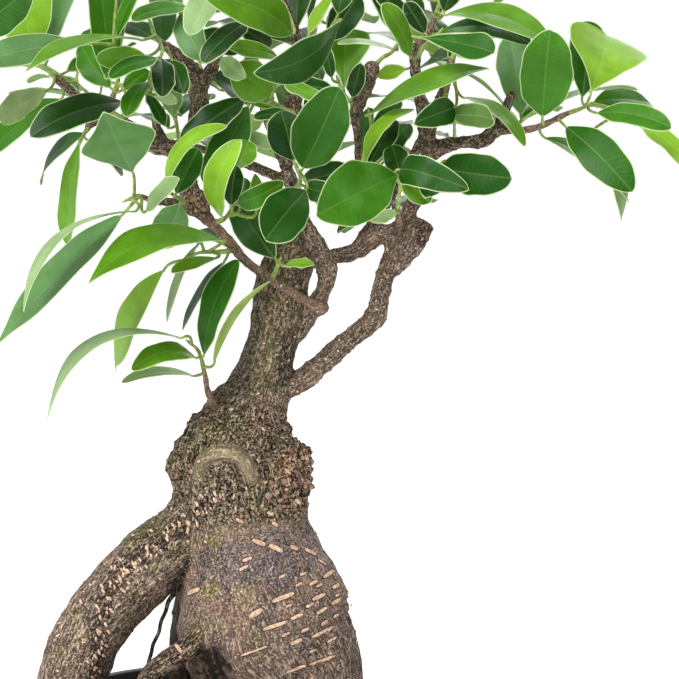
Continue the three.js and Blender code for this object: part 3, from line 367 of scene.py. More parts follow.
# A blade's marks as the values where each begins and where it is full, in millimetres for the midrib and
# the rim, and its noises as scale per metre, detail and roughness
bladeMarks = {
    "rib": (0.5, 0.12), "rim": (0.56, 0.3), "rimShare": 0.95, "vein": (0.12, 0.02),
    "veinFromRim": (0.4, 2.2),
    "veinSlope": -0.6, "wobbleReach": 1.6, "wobble": (260.0, 2.0), "broad": (55.0, 3.0, 0.55),
    "fine": (700.0, 2.0, 0.6), "speck": (1300.0, 1.0), "fleck": (0.7, 0.78), "fleckWhere": (0.45, 0.6),
    # Its last three entries set broad patches of painted sheen on the blade.
    "fleckShare": 0.45, "fleckTint": tint(196, 214, 180), "dustAndSheen": (0.5, 0.7), "paintedSheenShare": 0.1,
    "paintedSheenTint": tint(150, 172, 140),
}


# The pattern of a blade, from a place of [along, from the midrib, from the edge] in millimetres
def makeVeinGroup():
    group, given, result = makeGroup(
        "bladePattern",
        [("Place", "NodeSocketVector", None), ("Surface", "NodeSocketVector", None),
         ("Colour", "NodeSocketColor", None), ("Vein Colour", "NodeSocketColor", None),
         ("Vein Spacing", "NodeSocketFloat", 3.0), ("Vein Strength", "NodeSocketFloat", 0.25),
         ("Rib Strength", "NodeSocketFloat", 0.4), ("Rim Colour", "NodeSocketColor", None)],
        [("Colour", "NodeSocketColor"), ("Height", "NodeSocketFloat"), ("Roughness", "NodeSocketFloat")])

    def marked(value, name):
        return stepNode(group, value, *bladeMarks[name])

    wobble, broad, fine, speck = (noiseNode(group, given.outputs["Surface"], *bladeMarks[name])
                                  for name in ("wobble", "broad", "fine", "speck"))
    parts = addNode(group, "ShaderNodeSeparateXYZ")
    group.links.new(given.outputs["Place"], parts.inputs[0])
    along, fromRim = parts.outputs[0], parts.outputs[2]
    aside = mathNode(group, "ABSOLUTE", parts.outputs[1])
    rib = timesNode(group, marked(aside, "rib"), given.outputs["Rib Strength"])
    slanted = mathNode(group, "ADD", timesPlusNode(group, aside, bladeMarks["veinSlope"], along),
                       timesNode(group, wobble, bladeMarks["wobbleReach"]))
    phase = mathNode(group, "FRACT", mathNode(group, "DIVIDE", slanted, given.outputs["Vein Spacing"]))
    wave = mathNode(group, "ABSOLUTE", mathNode(group, "SUBTRACT", phase, 0.5))
    vein = timesNode(group, marked(wave, "vein"), marked(fromRim, "veinFromRim"))
    shade = timesPlusNode(group, broad, 1.3, timesPlusNode(group, fine, 0.25, 0.24))
    colour = scaleNode(group, given.outputs["Colour"], shade)
    fleckShare = timesNode(group, marked(broad, "fleckWhere"), bladeMarks["fleckShare"])
    for share, over in (
            # Painted sheen: broad pale grey-green patches where the broad noise is high.
            (timesNode(group, marked(broad, "dustAndSheen"), bladeMarks["paintedSheenShare"]), bladeMarks["paintedSheenTint"]),
            (timesNode(group, marked(speck, "fleck"), fleckShare), bladeMarks["fleckTint"]),
            (timesNode(group, vein, given.outputs["Vein Strength"]), given.outputs["Vein Colour"]),
            (rib, given.outputs["Vein Colour"]),
            (timesNode(group, marked(fromRim, "rim"), bladeMarks["rimShare"]), given.outputs["Rim Colour"])):
        colour = mixColour(group, share, colour, over)
    sunk = mathNode(group, "MAXIMUM", timesNode(group, vein, 0.4), rib)
    linkTo(group, colour, result, "Colour")
    group.links.new(timesPlusNode(group, fine, 0.3, timesNode(group, sunk, -1.0)), result.inputs["Height"])
    group.links.new(timesPlusNode(group, broad, 0.3, 0.2), result.inputs["Roughness"])
    return group


grainGroup = makeGrainGroup()
veinGroup = makeVeinGroup()

# The tint of the upper side and of the underside for each tone. The tones are partly the leaves' own greens
# and partly painted light: the bright yellow-greens stand in for light shining through a blade.
bladeTones = [(tint(*upper), tint(*under)) for upper, under in [
    ((20, 62, 12), (100, 140, 74)), ((30, 84, 13), (112, 150, 78)),
    ((44, 104, 14), (124, 160, 80)), ((66, 130, 17), (138, 172, 84)),
    ((98, 152, 24), (154, 186, 92)), ((140, 188, 42), (174, 204, 104)),
    ((160, 190, 130), (190, 208, 154)), ((100, 144, 84), (138, 166, 114)),
]]


def makeBladeMaterial():
    material, tree, shader = startMaterial("leafBlade")
    tone = readAttribute(tree, "bladeTone", "Fac")
    under = readAttribute(tree, "bladeUnder", "Fac")
    ramps = []
    for side in (0, 1):
        ramp = addNode(tree, "ShaderNodeValToRGB")
        while len(ramp.color_ramp.elements) < len(bladeTones):
            ramp.color_ramp.elements.new(0.5)
        for index, pair in enumerate(bladeTones):
            element = ramp.color_ramp.elements[index]
            element.position = index / (len(bladeTones) - 1)
            element.color = (*pair[side], 1.0)
        tree.links.new(tone, ramp.inputs[0])
        ramps.append(ramp.outputs[0])
    base = mixColour(tree, under, ramps[0], ramps[1])
    veinColour = mixColour(tree, 0.4, base, tint(190, 216, 130))
    rimColour = mixColour(tree, 0.85, base, tint(222, 238, 178))
    surface = addNode(tree, "ShaderNodeTexCoord").outputs["Object"]
    pattern = placeGroup(tree, veinGroup, **{
        "Place": readAttribute(tree, "bladePlace", "Vector"), "Surface": surface, "Colour": base,
        "Vein Colour": veinColour, "Vein Spacing": 2.6, "Vein Strength": 0.07,
        "Rib Strength": timesPlusNode(tree, under, 0.4, 0.35), "Rim Colour": rimColour})
    linkTo(tree, pattern.outputs["Colour"], shader, "Base Color")
    roughness = timesPlusNode(tree, under, 0.25, pattern.outputs["Roughness"])
    linkTo(tree, roughness, shader, "Roughness")
    shader.inputs["Specular IOR Level"].default_value = 0.26
    addBump(tree, pattern.outputs["Height"], shader, 0.0002, 0.5)
    through = addNode(tree, "ShaderNodeBsdfTranslucent")
    glow = mixColour(tree, 0.5, pattern.outputs["Colour"], tint(150, 215, 20))
    tree.links.new(glow, through.inputs["Color"])
    mixed = addNode(tree, "ShaderNodeMixShader")
    mixed.inputs["Fac"].default_value = 0.24
    tree.links.new(shader.outputs[0], mixed.inputs[1])
    tree.links.new(through.outputs[0], mixed.inputs[2])
    tree.links.new(mixed.outputs[0], tree.nodes["Material Output"].inputs["Surface"])
    return material


def makeTwigMaterial():
    material, tree, shader = startMaterial("twigSkin")
    age = readAttribute(tree, "twigAge", "Fac")
    surface = addNode(tree, "ShaderNodeTexCoord").outputs["Object"]
    green = mixColour(tree, stepNode(tree, noiseNode(tree, surface, 400.0, 2.0), 0.35, 0.7),
                      tint(122, 146, 62), tint(166, 184, 98))
    brown = mixColour(tree, stepNode(tree, noiseNode(tree, surface, 1100.0, 4.0, 0.65), 0.38, 0.62),
                      tint(58, 42, 34), tint(158, 128, 100))
    colour = mixColour(tree, stepNode(tree, age, 0.25, 0.7), green, brown)
    linkTo(tree, colour, shader, "Base Color")
    shader.inputs["Roughness"].default_value = 0.55
    addBump(tree, noiseNode(tree, surface, 1100.0, 3.0), shader, 0.0003, 0.6)
    return material


def makeBarkMaterial():
    material, tree, shader = startMaterial("agedBark")
    grain = placeGroup(tree, grainGroup, Place=readAttribute(tree, "grainPlace", "Vector"),
                       Colour=readAttribute(tree, "barkColour", "Color"),
                       Scale=1.0, Stretch=0.3, Furrows=readAttribute(tree, "furrows", "Fac"),
                       Flecks=readAttribute(tree, "flecks", "Fac"))
    linkTo(tree, grain.outputs["Colour"], shader, "Base Color")
    linkTo(tree, grain.outputs["Roughness"], shader, "Roughness")
    shader.inputs["Specular IOR Level"].default_value = 0.25
    addBump(tree, grain.outputs["Height"], shader, 0.0011, 1.0)
    return material


def makeLenticelMaterial():
    material, tree, shader = startMaterial("paleLenticel")
    surface = addNode(tree, "ShaderNodeTexCoord").outputs["Object"]
    rim = readAttribute(tree, "lenticelRim", "Fac")
    core = mixColour(tree, stepNode(tree, noiseNode(tree, surface, 900.0, 3.0), 0.35, 0.68),
                     tint(184, 144, 112), tint(232, 204, 176))
    colour = mixColour(tree, stepNode(tree, rim, 0.42, 0.72), core, tint(46, 33, 27))
    linkTo(tree, colour, shader, "Base Color")
    shader.inputs["Roughness"].default_value = 0.8
    addBump(tree, noiseNode(tree, surface, 1500.0, 2.0), shader, 0.0002, 0.6)
    return material


def makePotMaterial():
    material, tree, shader = startMaterial("satinBlackPot")
    surface = addNode(tree, "ShaderNodeTexCoord").outputs["Object"]
    dustAndSheen = stepNode(tree, noiseNode(tree, surface, 60.0, 4.0, 0.6), 0.5, 0.8)
    colour = mixColour(tree, timesNode(tree, dustAndSheen, 0.35), tint(24, 24, 27), tint(58, 56, 56))
    linkTo(tree, colour, shader, "Base Color")
    tree.links.new(timesPlusNode(tree, dustAndSheen, 0.2, 0.36), shader.inputs["Roughness"])
    addBump(tree, noiseNode(tree, surface, 1400.0, 2.0), shader, 0.0001, 0.5)
    return material


def makeSoilMaterial():
    material, tree, shader = startMaterial("pottingSoil")
    surface = addNode(tree, "ShaderNodeTexCoord").outputs["Object"]
    grit = readAttribute(tree, "gritTone", "Fac")
    fine = noiseNode(tree, surface, 800.0, 4.0, 0.65)
    earth = mixColour(tree, stepNode(tree, fine, 0.35, 0.68), tint(34, 25, 19), tint(84, 64, 48))
    stone = mixColour(tree, stepNode(tree, fine, 0.35, 0.7), tint(96, 84, 70), tint(168, 154, 132))
    colour = mixColour(tree, stepNode(tree, grit, 0.7, 0.8), earth, stone)
    linkTo(tree, colour, shader, "Base Color")
    shader.inputs["Roughness"].default_value = 0.92
    shader.inputs["Specular IOR Level"].default_value = 0.2
    addBump(tree, fine, shader, 0.0008, 0.9)
    return material


print("stage: materials")
bladeMaterial = makeBladeMaterial()
twigMaterial = makeTwigMaterial()
barkMaterial = makeBarkMaterial()
lenticelMaterial = makeLenticelMaterial()
potMaterial = makePotMaterial()
soilMaterial = makeSoilMaterial()


# The kind of a mesh's values and the name of their field, by how many numbers each has
valueKinds = {1: ("FLOAT", "value"), 3: ("FLOAT_VECTOR", "vector"), 4: ("FLOAT_COLOR", "color")}


# A growing mesh of points, faces, face materials and named values at the points
class MeshParts:
    def __init__(self):
        self.points, self.faces, self.slots, self.values = [], [], [], {}
        self.sharpPairs = set()
        self.count = 0

    def add(self, points, faces, slot=0, sharpPairs=(), **values):
        self.points.append(np.asarray(points, float))
        self.faces += [tuple(i + self.count for i in face) for face in faces]
        self.slots += [slot] * len(faces)
        self.sharpPairs |= {(min(a, b) + self.count, max(a, b) + self.count) for a, b in sharpPairs}
        for name, value in values.items():
            self.values.setdefault(name, []).append(
                (self.count, np.broadcast_to(np.asarray(value, float), self.shapeOf(value, len(points)))))
        self.count += len(points)

    @staticmethod
    def shapeOf(value, count):
        array = np.asarray(value, float)
        return array.shape if array.ndim and array.shape[0] == count else (count, *array.shape)

    def build(self, name, materials):
        mesh = bpy.data.meshes.new(name)
        mesh.from_pydata((np.concatenate(self.points) * millimetre).tolist(), [], self.faces)
        for material in materials:
            mesh.materials.append(material)
        mesh.polygons.foreach_set("material_index", self.slots)
        mesh.polygons.foreach_set("use_smooth", [True] * len(self.faces))
        for valueName, chunks in self.values.items():
            width = chunks[0][1].shape[1:] or (1,)
            whole = np.zeros((self.count, *width))
            for start, chunk in chunks:
                whole[start:start + len(chunk)] = chunk.reshape(len(chunk), *width)
            kind, key = valueKinds[width[0]]
            attribute = mesh.attributes.new(valueName, kind, "POINT")
            attribute.data.foreach_set(key, whole.astype(np.float32).ravel())
        if self.sharpPairs:
            ends = np.zeros(len(mesh.edges) * 2, np.int64)
            mesh.edges.foreach_get("vertices", ends)
            flags = [tuple(sorted(pair)) in self.sharpPairs for pair in ends.reshape(-1, 2).tolist()]
            mesh.attributes.new("sharp_edge", "BOOLEAN", "EDGE").data.foreach_set("value", flags)
        mesh.update()
        piece = bpy.data.objects.new(name, mesh)
        scene.collection.objects.link(piece)
        return piece


# A smooth curve through stations [x, y, z, radius, depth radius, row ...], a step apart
def smoothStations(stations, step):
    stations = np.asarray(stations, float)
    ends = np.vstack((2 * stations[0] - stations[1], stations, 2 * stations[-1] - stations[-2]))
    made = []
    for i in range(1, len(ends) - 2):
        p0, p1, p2, p3 = ends[i - 1:i + 3]
        count = max(2, int(round(np.linalg.norm((p2 - p1)[:3]) / step)))
        for k in range(count):
            t = k / count
            made.append(0.5 * (2 * p1 + (p2 - p0) * t + (2 * p0 - 5 * p1 + 4 * p2 - p3) * t * t
                               + (3 * p1 - p0 - 3 * p2 + p3) * t ** 3))
    made.append(stations[-1])
    return np.array(made)


# The way that a line of centres runs at each of them
def axesOf(centres):
    axes = np.vstack((centres[1:], centres[-1:])) - np.vstack((centres[:1], centres[:-1]))
    return axes / np.linalg.norm(axes, axis=1)[:, None]


# The sides and the flat ends of a tube of rows of points
def tubeFaces(rows, sides):
    faces = []
    for r in range(rows - 1):
        for k in range(sides):
            n = (k + 1) % sides
            faces.append((r * sides + k, r * sides + n, (r + 1) * sides + n, (r + 1) * sides + k))
    return faces + [tuple(range(sides))[::-1], tuple(range((rows - 1) * sides, rows * sides))]


# The faces of rows of points round an axis, between a first and a last point on it
def turnedFaces(rows, sides):
    last = 1 + rows * sides
    faces = []
    for k in range(sides):
        n = (k + 1) % sides
        faces += [(0, 1 + n, 1 + k), (last, last - sides + k, last - sides + n)]
        for r in range(rows - 1):
            low, high = 1 + r * sides, 1 + (r + 1) * sides
            faces.append((low + k, low + n, high + n, high + k))
    return faces


# The faces of a sheet of rows of points, counted from its first point
def sheetFaces(count, width, first=0):
    corners = (first + i * width + j for i in range(count - 1) for j in range(width - 1))
    return [(a, a + 1, a + width + 1, a + width) for a in corners]


# The points along the edge of such a sheet, in turn
def sheetBorder(count, width):
    return ([i * width for i in range(count)] + [(count - 1) * width + j for j in range(1, width)]
            + [i * width + width - 1 for i in range(count - 2, -1, -1)]
            + [j for j in range(width - 2, 0, -1)])


# A tube round the stations, with its ends rounded, and the sections' own axes
def tubeOf(stations, sides, rounded=0.45):
    centres = stations[:, :3]
    axes = axesOf(centres)
    across = np.cross(axes, toViewer)
    across /= np.linalg.norm(across, axis=1)[:, None]
    deep = np.cross(across, axes)
    angles = 2 * np.pi * np.arange(sides) / sides
    rows = [(centres[i], across[i], deep[i], stations[i, 3], stations[i, 4]) for i in range(len(stations))]

    def capRows(index, way):
        out = []
        for share in (0.5, 0.85):
            reach = rounded * 2 * share * stations[index, 3]
            narrow = math.sqrt(max(1 - share * share, 0.05))
            out.append((centres[index] + way * reach * axes[index], across[index], deep[index],
                        stations[index, 3] * narrow, stations[index, 4] * narrow))
        return out

    rows = capRows(0, -1)[::-1] + rows + capRows(-1, 1)
    points = []
    for centre, side, back, radius, depthRadius in rows:
        points.append(centre + radius * np.cos(angles)[:, None] * side
                      + depthRadius * np.sin(angles)[:, None] * back)
    return np.concatenate(points), tubeFaces(len(rows), sides), (centres, across, deep, axes)


print("stage: wood")
# Limbs as rows of [across, down, depth, radius], with the radius in depth after it where that differs
limbs = {
    "stem": [[296, 243, 2, 8.5], [288, 264, 1, 11, 10.5], [281, 288, 0, 12.2, 12],
      [280, 314, 0, 12.8, 12.5], [272, 342, 0, 11.6, 12], [265, 367, 0, 12.4, 12.5],
      [258, 392, 0, 14.8, 15], [250, 411, 0, 18.6, 17.5], [244, 430, -1, 24, 21],
      [237, 448, -2, 28.6, 25.5], [241, 474, -2, 31.5, 27], [242, 504, -2, 30, 26.5],
      [245, 534, -3, 30, 27.5], [253, 566, -5, 33, 30], [262, 603, -8, 38.5, 34], [267, 630, -9, 40, 35],
      [281, 648, -10, 36.5, 34], [291, 662, -10, 32.5, 32], [297, 681, -10, 30.2, 30],
      [300, 712, -8, 28, 27], [301, 748, -6, 22], [301, 784, -4, 13]],
    "leftRoot": [[222, 505, -2, 20], [186, 532, -5, 15, 17], [158, 556, -8, 16, 17],
      [132, 581, -10, 16.5, 17], [110, 604, -12, 15.5, 16], [93, 628, -13, 15.5],
      [81, 652, -13, 15.8, 15.5], [72, 679, -12, 15.6, 15], [72, 706, -10, 14.5, 14], [78, 740, -8, 12],
      [85, 776, -6, 7.5]],
    "smallRoot": [[230, 610, -22, 8], [207, 631, -29, 5.8], [186, 649, -33, 5.3], [166, 663, -35, 5.2],
      [150, 676, -35, 5], [143, 700, -33, 4.6], [143, 738, -29, 3.6], [146, 770, -25, 2.6]],
    "backRootLeft": [[232, 530, 8, 18], [214, 580, 22, 16, 15], [201, 625, 32, 14, 13],
      [196, 672, 38, 13, 12], [197, 716, 40, 11.5, 11], [200, 752, 40, 9], [203, 784, 38, 6]],
    "backRootRight": [[268, 540, 8, 18], [292, 590, 22, 17, 15], [310, 635, 32, 15, 14],
      [318, 680, 36, 13], [320, 722, 38, 11], [320, 762, 38, 7]],
    "airRoot": [[178, 586, -13, 1.4], [167, 606, -14, 1], [161, 624, -15, 0.9], [153, 647, -15, 0.9],
      [149, 662, -14, 0.9], [152, 692, -13, 0.9], [153, 742, -12, 0.9]],
    "callus": [[201, 474, -22.5, 2.4], [204, 462, -24.5, 2.7], [213, 455, -26.5, 2.8],
      [225, 453, -27.5, 2.8], [237, 456, -28, 2.8], [246, 465, -28.5, 2.7], [250, 478, -28.5, 2.4]],
    "rightBranch": [[270, 394, 0, 6.5], [305, 378, -2, 5.2], [328, 358, -4, 4.9], [350, 339, -6, 4.8],
      [369, 324, -7, 4.8], [377, 312, -8, 4.9], [380, 297, -8, 4.3], [384, 280, -8, 4.1],
      [391, 258, -7, 4], [400, 230, -6, 4.4]],
    "cutStub": [[389, 276, -8, 2.5], [397, 262, -9, 5.2], [410, 245, -9, 6], [421, 229, -9, 5.8]],
    "crossBranch": [[298, 262, 2, 5], [320, 259, 3, 3.7], [342, 255, 3, 3.7], [360, 249, 1, 3.8],
      [376, 237, -3, 4.2], [399, 229, -6, 3.8]],
    "frontBranch": [[318, 300, -4, 3.2], [322, 309, -11, 2.9], [300, 297, -14, 2.2], [271, 279, -16, 2.2],
      [246, 261, -18, 2.2], [228, 240, -19, 2.4], [210, 221, -20, 2.7], [197, 206, -20, 4.5]],
    "clump": [[203, 216, -20, 3], [199, 208, -20, 6], [193, 200, -20, 6.4], [188, 192, -19, 4]],
    "leftRiser": [[196, 204, -19, 4.2], [187, 176, -14, 3.6], [188, 150, -8, 3.6], [194, 124, -4, 3.4],
      [199, 104, -2, 4], [197, 86, 0, 4.8], [189, 71, 2, 4.5], [178, 57, 3, 3.5], [167, 46, 4, 2.2]],
    "leftStub": [[199, 88, 0, 3.4], [208, 76, -3, 3.4], [214, 66, -5, 2.8]],
    "leftBranch": [[190, 149, -8, 3.6], [172, 148, -6, 3.8], [151, 145, -4, 3.6], [128, 130, 0, 2.8],
      [106, 119, 4, 2.2], [87, 127, 4, 1.7]],
    "leftFork": [[164, 144, -4, 2.6], [160, 134, -5, 2.3], [155, 122, -6, 1.9]],
    "leftEnd": [[108, 120, 4, 2.2], [89, 106, 6, 2], [70, 90, 8, 2.2], [56, 78, 8, 2]],
    "lowLeftTwig": [[196, 204, -20, 3], [176, 203, -22, 2.3], [154, 200, -25, 2]],
    "midRiser": [[292, 336, -4, 5], [305, 318, -6, 5], [317, 302, -8, 4.4], [325, 286, -9, 3.8],
      [327, 270, -9, 5], [322, 256, -9, 4.8], [314, 240, -9, 4.2], [305, 223, -10, 3], [292, 194, -8, 2.6],
      [287, 160, -5, 2.6], [289, 130, -1, 3.2], [293, 100, 3, 4.2], [298, 70, 5, 3.3], [297, 44, 6, 2.9],
      [290, 20, 8, 2.7], [282, 0, 9, 2.2]],
    "centreStem": [[384, 238, -4, 2.6], [366, 205, 4, 2.2], [359, 165, 6, 1.9], [357, 130, 6, 1.9],
      [356, 113, 4, 3], [360, 97, -6, 3.8], [367, 82, -17, 3.8], [372, 68, -22, 3.6]],
    "rightStem": [[400, 231, -6, 4.2], [413, 204, -7, 3.5], [422, 188, -8, 3.2], [428, 160, -8, 3.4],
      [427, 139, -8, 3.8], [426, 118, -6, 4], [419, 94, -4, 2.8], [415, 66, -2, 2.5], [416, 46, -2, 2.2]],
    "rightFork": [[429, 126, -6, 2.6], [439, 106, -8, 2.4], [445, 86, -11, 2.5], [451, 62, -13, 2]],
    "farBranch": [[429, 151, -8, 3.4], [446, 144, -10, 3], [464, 142, -12, 2.8], [482, 141, -12, 3.5],
      [495, 131, -12, 2.9], [512, 129, -12, 2.3]],
    "farStub": [[492, 134, -12, 2.8], [504, 112, -11, 2.4], [512, 94, -11, 2]],
    "backRiser": [[301, 254, 6, 4.5], [303, 222, 24, 3.6], [292, 182, 44, 3.1], [275, 140, 60, 2.6],
      [262, 100, 72, 2.2], [256, 62, 78, 1.8]],
    "backRight": [[350, 256, 2, 3], [374, 222, 24, 2.9], [400, 180, 44, 2.6], [424, 135, 58, 2.2],
      [440, 95, 68, 1.8]],
    "backFarRight": [[398, 184, 43, 2.3], [446, 150, 46, 1.9], [496, 136, 42, 1.6]],
    "backLeft": [[293, 184, 43, 2.6], [250, 165, 50, 2.4], [205, 150, 54, 2.1], [160, 140, 54, 1.8],
      [125, 120, 56, 1.5]],
}
# Lumps on the neck: [across, down, depth, radius]
lumps = [
    [291, 457, -17, 9.5], [292, 482, -14, 9], [279, 486, -22, 8], [289, 506, -16, 9], [184, 466, -10, 8.5],
]


def limbStations(points):
    return np.array([[*place(p[0], p[1], p[2]), p[3], p[-1], p[1]] for p in points])


barkForm = {
    "voxel": 0.95, "smoothing": 5, "step": 1.7, "thinLimbs": ("airRoot",), "thinStep": 1.5, "thinSides": 10,
    # how much a limb's grain is drawn out, and the shift that sets the grain of two limbs apart
    "stretch": 0.26, "limbShift": 137.0, "wartCell": 4.0, "ringSpacing": 6.4, "wartRing": 0.35,
    # noise over the wood: [size in millimetres, octaves, shift]
    "noises": {
        "broad": (19.0, 3, 0.0), "middle": (6.5, 3, 5.0), "streak": (2.6, 3, 9.0), "rugged": (4.2, 4, 31.0),
        "furrow": (5.0, 3, 3.0), "ringPlace": (9.0, 1, 77.0), "blurred": (3.0, 2, 61.0),
        "moss": (11.0, 3, 51.0), "slate": (10.0, 3, 91.0), "rose": (8.0, 3, 131.0), "ragged": (3.5, 3, 17.0),
    },
    # concentric ridges under the callus: [across, down, inner and outer radius, spacing] in points
    "callusRings": [227, 482, 9, 27, 5.2],
    # shallow hollows that set the outline: [across, down, reach in points, depth]
    "hollows": [[184, 411, 15, 3.4], [175, 430, 12, 2.4], [305, 436, 10, 2.8]],
    # ring knots on the trunk: [across, down, ring radius in points, height]
    "knots": [
        [228, 366, 7, 1.0], [262, 357, 7, 1.0], [300, 284, 5, 0.9], [271, 300, 5, 0.7], [287, 335, 5, 0.8],
        [268, 312, 4, 0.6], [248, 378, 5, 0.7], [384, 321, 6, 0.6], [303, 373, 4, 0.5], [209, 592, 7, 0.7],
        [330, 632, 4, 0.4],
    ],
}
# Tints of the bark. The dark tint is painted shade, used for hollows, creases and shaded edges, the troughs
# of the callus ridges, the sunk rings round the warts, the undersides of the warts and the back roots.
barkTints = {name: tint(*code) for name, code in {
    "bulb": (164, 138, 124), "root": (180, 152, 134), "neck": (170, 146, 116),
    "trunk": (156, 138, 110), "branch": (166, 140, 120), "callus": (206, 184, 146),
    "moss": (142, 136, 78), "straw": (196, 174, 126), "slate": (98, 90, 94),
    "stripe": (92, 68, 60), "dark": (36, 28, 25), "rust": (196, 134, 92),
    "rose": (190, 148, 128), "greenGrey": (108, 104, 84), "stub": (92, 62, 48),
    "thinRoot": (50, 40, 36), "palePatch": (200, 196, 148), "smallRoot": (104, 72, 58),
    "thin": (122, 100, 84), "wartTop": (224, 194, 160),
    "tan": (196, 158, 136), "bulbGrey": (128, 118, 124),
    # The last tint is a painted shadow, near black, for the shaded gap between the small root and the bulb.
    "yellowMoss": (168, 154, 88), "void": (14, 11, 11),
}.items()}
# Patches of the front's bark: radius in points, tint, strength and the places of a stroke
# Strokes in the dark tint paint shade into the bark's hollows, creases and shaded edges.
barkPatches = [
    [10, "stripe", 0.85, [[243, 482], [215, 502], [188, 524], [160, 545],
     [125, 565], [106, 590], [100, 626], [97, 676]]], [9, "moss", 0.8, [[212, 540]]],
    [8, "moss", 0.6, [[192, 547]]], [10, "slate", 0.6, [[207, 558]]], [24, "slate", 0.6, [[273, 570]]],
    [14, "slate", 0.5, [[302, 564]]], [9, "moss", 0.7, [[209, 592]]], [14, "straw", 0.4, [[215, 627]]],
    [8, "moss", 0.6, [[196, 630]]], [9, "moss", 0.5, [[256, 638], [262, 652]]],
    [18, "rose", 0.5, [[243, 615]]], [12, "slate", 0.4, [[304, 528]]], [10, "rust", 0.8, [[313, 493]]],
    [10, "rose", 0.6, [[287, 490]]], [9, "moss", 0.8, [[258, 507]]], [16, "slate", 0.5, [[281, 587]]],
    [10, "slate", 0.5, [[325, 598]]], [9, "moss", 0.7, [[131, 543], [141, 535], [158, 522]]],
    [9, "straw", 0.7, [[80, 636]]], [10, "straw", 0.6, [[61, 655]]], [7, "moss", 0.7, [[76, 615]]],
    [8, "moss", 0.6, [[59, 669]]], [10, "moss", 0.5, [[158, 564]]], [10, "moss", 0.6, [[175, 552]]],
    [7, "straw", 0.5, [[177, 507]]], [5, "dark", 0.8, [[186, 564], [175, 583], [170, 600]]],
    [9, "greenGrey", 0.8, [[256, 300], [252, 334], [240, 372], [226, 400]]],
    [9, "straw", 0.45, [[278, 300], [270, 326], [262, 378]]], [8, "moss", 0.5, [[261, 378], [254, 392]]],
    [9, "dark", 0.4, [[297, 330], [291, 360], [284, 378]]], [16, "rose", 0.4, [[259, 415]]],
    [16, "moss", 0.6, [[205, 443], [218, 434], [239, 439]]], [8, "dark", 0.5, [[268, 439]]],
    [7, "dark", 0.8, [[289, 450]]], [5, "dark", 1.0, [[266, 469]]],
    [12, "rust", 0.75, [[305, 456], [283, 469]]], [12, "rust", 0.7, [[302, 484]]],
    [6, "straw", 0.6, [[274, 472]]], [13, "rose", 0.6, [[280, 497]]], [9, "rust", 0.35, [[180, 471]]],
    [9, "stripe", 0.6, [[224, 484], [236, 476]]], [11, "stub", 0.95, [[424, 238], [430, 222]]],
    [7, "dark", 0.6, [[190, 452], [196, 462]]], [6, "palePatch", 0.8, [[171, 618]]],
    # The last stroke on the next line paints near-black shadow into the gap between the small root and the
    # bulb.
    [14, "rust", 0.7, [[197, 203]]], [15, "void", 1.0, [[212, 658], [218, 692]]],
    [22, "bulbGrey", 0.55, [[232, 566], [284, 552]]], [12, "straw", 0.55, [[244, 596]]],
    [14, "bulbGrey", 0.5, [[330, 560], [318, 540]]], [8, "yellowMoss", 0.45, [[212, 540]]],
    [9, "yellowMoss", 0.5, [[211, 590]]], [7, "yellowMoss", 0.5, [[258, 507]]],
    [9, "yellowMoss", 0.35, [[204, 628]]], [10, "yellowMoss", 0.4, [[140, 537], [158, 522]]],
    [11, "yellowMoss", 0.4, [[216, 432], [196, 446]]], [12, "rust", 0.6, [[290, 488], [300, 500]]],
    [10, "dark", 0.5, [[288, 345], [286, 372]]], [9, "rose", 0.5, [[268, 402]]],
    [10, "dark", 0.45, [[244, 392]]],
]


# Round warts on the neck: places and reach in points of a patch, how many, and their radii in points
warts = {
    "seed": 23, "sunk": 0.18, "apart": 0.85,
    "patches": [
        [280, 490, 19, 17, 34, 1.8, 4.6], [297, 492, 14, 30, 40, 1.4, 3.4],
        [282, 426, 14, 14, 20, 1.2, 2.6], [262, 512, 22, 9, 16, 1.3, 3.0],
        [182, 476, 12, 18, 16, 1.4, 3.2], [196, 500, 14, 10, 12, 1.2, 2.4],
        [300, 455, 12, 10, 16, 1.4, 3.0], [222, 432, 26, 12, 18, 1.0, 2.2],
        [250, 446, 24, 14, 16, 1.1, 2.4], [196, 203, 16, 12, 40, 1.2, 2.8],
    ],
}


def chooseWarts():
    draw = makeRandom(warts["seed"])
    spots = []
    for across, down, wide, high, count, least, most in warts["patches"]:
        for _ in range(count):
            turn, reach = 2 * math.pi * draw(), math.sqrt(draw())
            size, tone, squash = draw(), draw(), draw()
            spot = np.array((across + wide * reach * math.cos(turn), down + high * reach * math.sin(turn)))
            radius = least + (most - least) * size * size
            if all(np.hypot(*(spot - row[0])) >= warts["apart"] * (radius + row[1]) for row in spots):
                spots.append((spot, radius, tone, squash))
    return spots


def sphereOf(centre, radius, rings=14, sides=20):
    points = [centre + np.array((0, 0, -radius))]
    for r in range(1, rings):
        polar = math.pi * r / rings
        for k in range(sides):
            turn = 2 * math.pi * k / sides
            points.append(centre + radius * np.array((math.sin(polar) * math.cos(turn),
                                                      math.sin(polar) * math.sin(turn), -math.cos(polar))))
    points.append(centre + np.array((0, 0, radius)))
    return np.array(points), turnedFaces(rings - 1, sides)


def fractalAt(points, size, octaves=3, shift=0.0):
    return np.array([noise.fractal(Vector(p), 0.9, 2.0, octaves) for p in (points / size + shift)])


def meshArrays(mesh):
    points = np.zeros(len(mesh.vertices) * 3)
    mesh.vertices.foreach_get("co", points)
    ends = np.zeros(len(mesh.edges) * 2, np.int64)
    mesh.edges.foreach_get("vertices", ends)
    return points.reshape(-1, 3), ends.reshape(-1, 2)


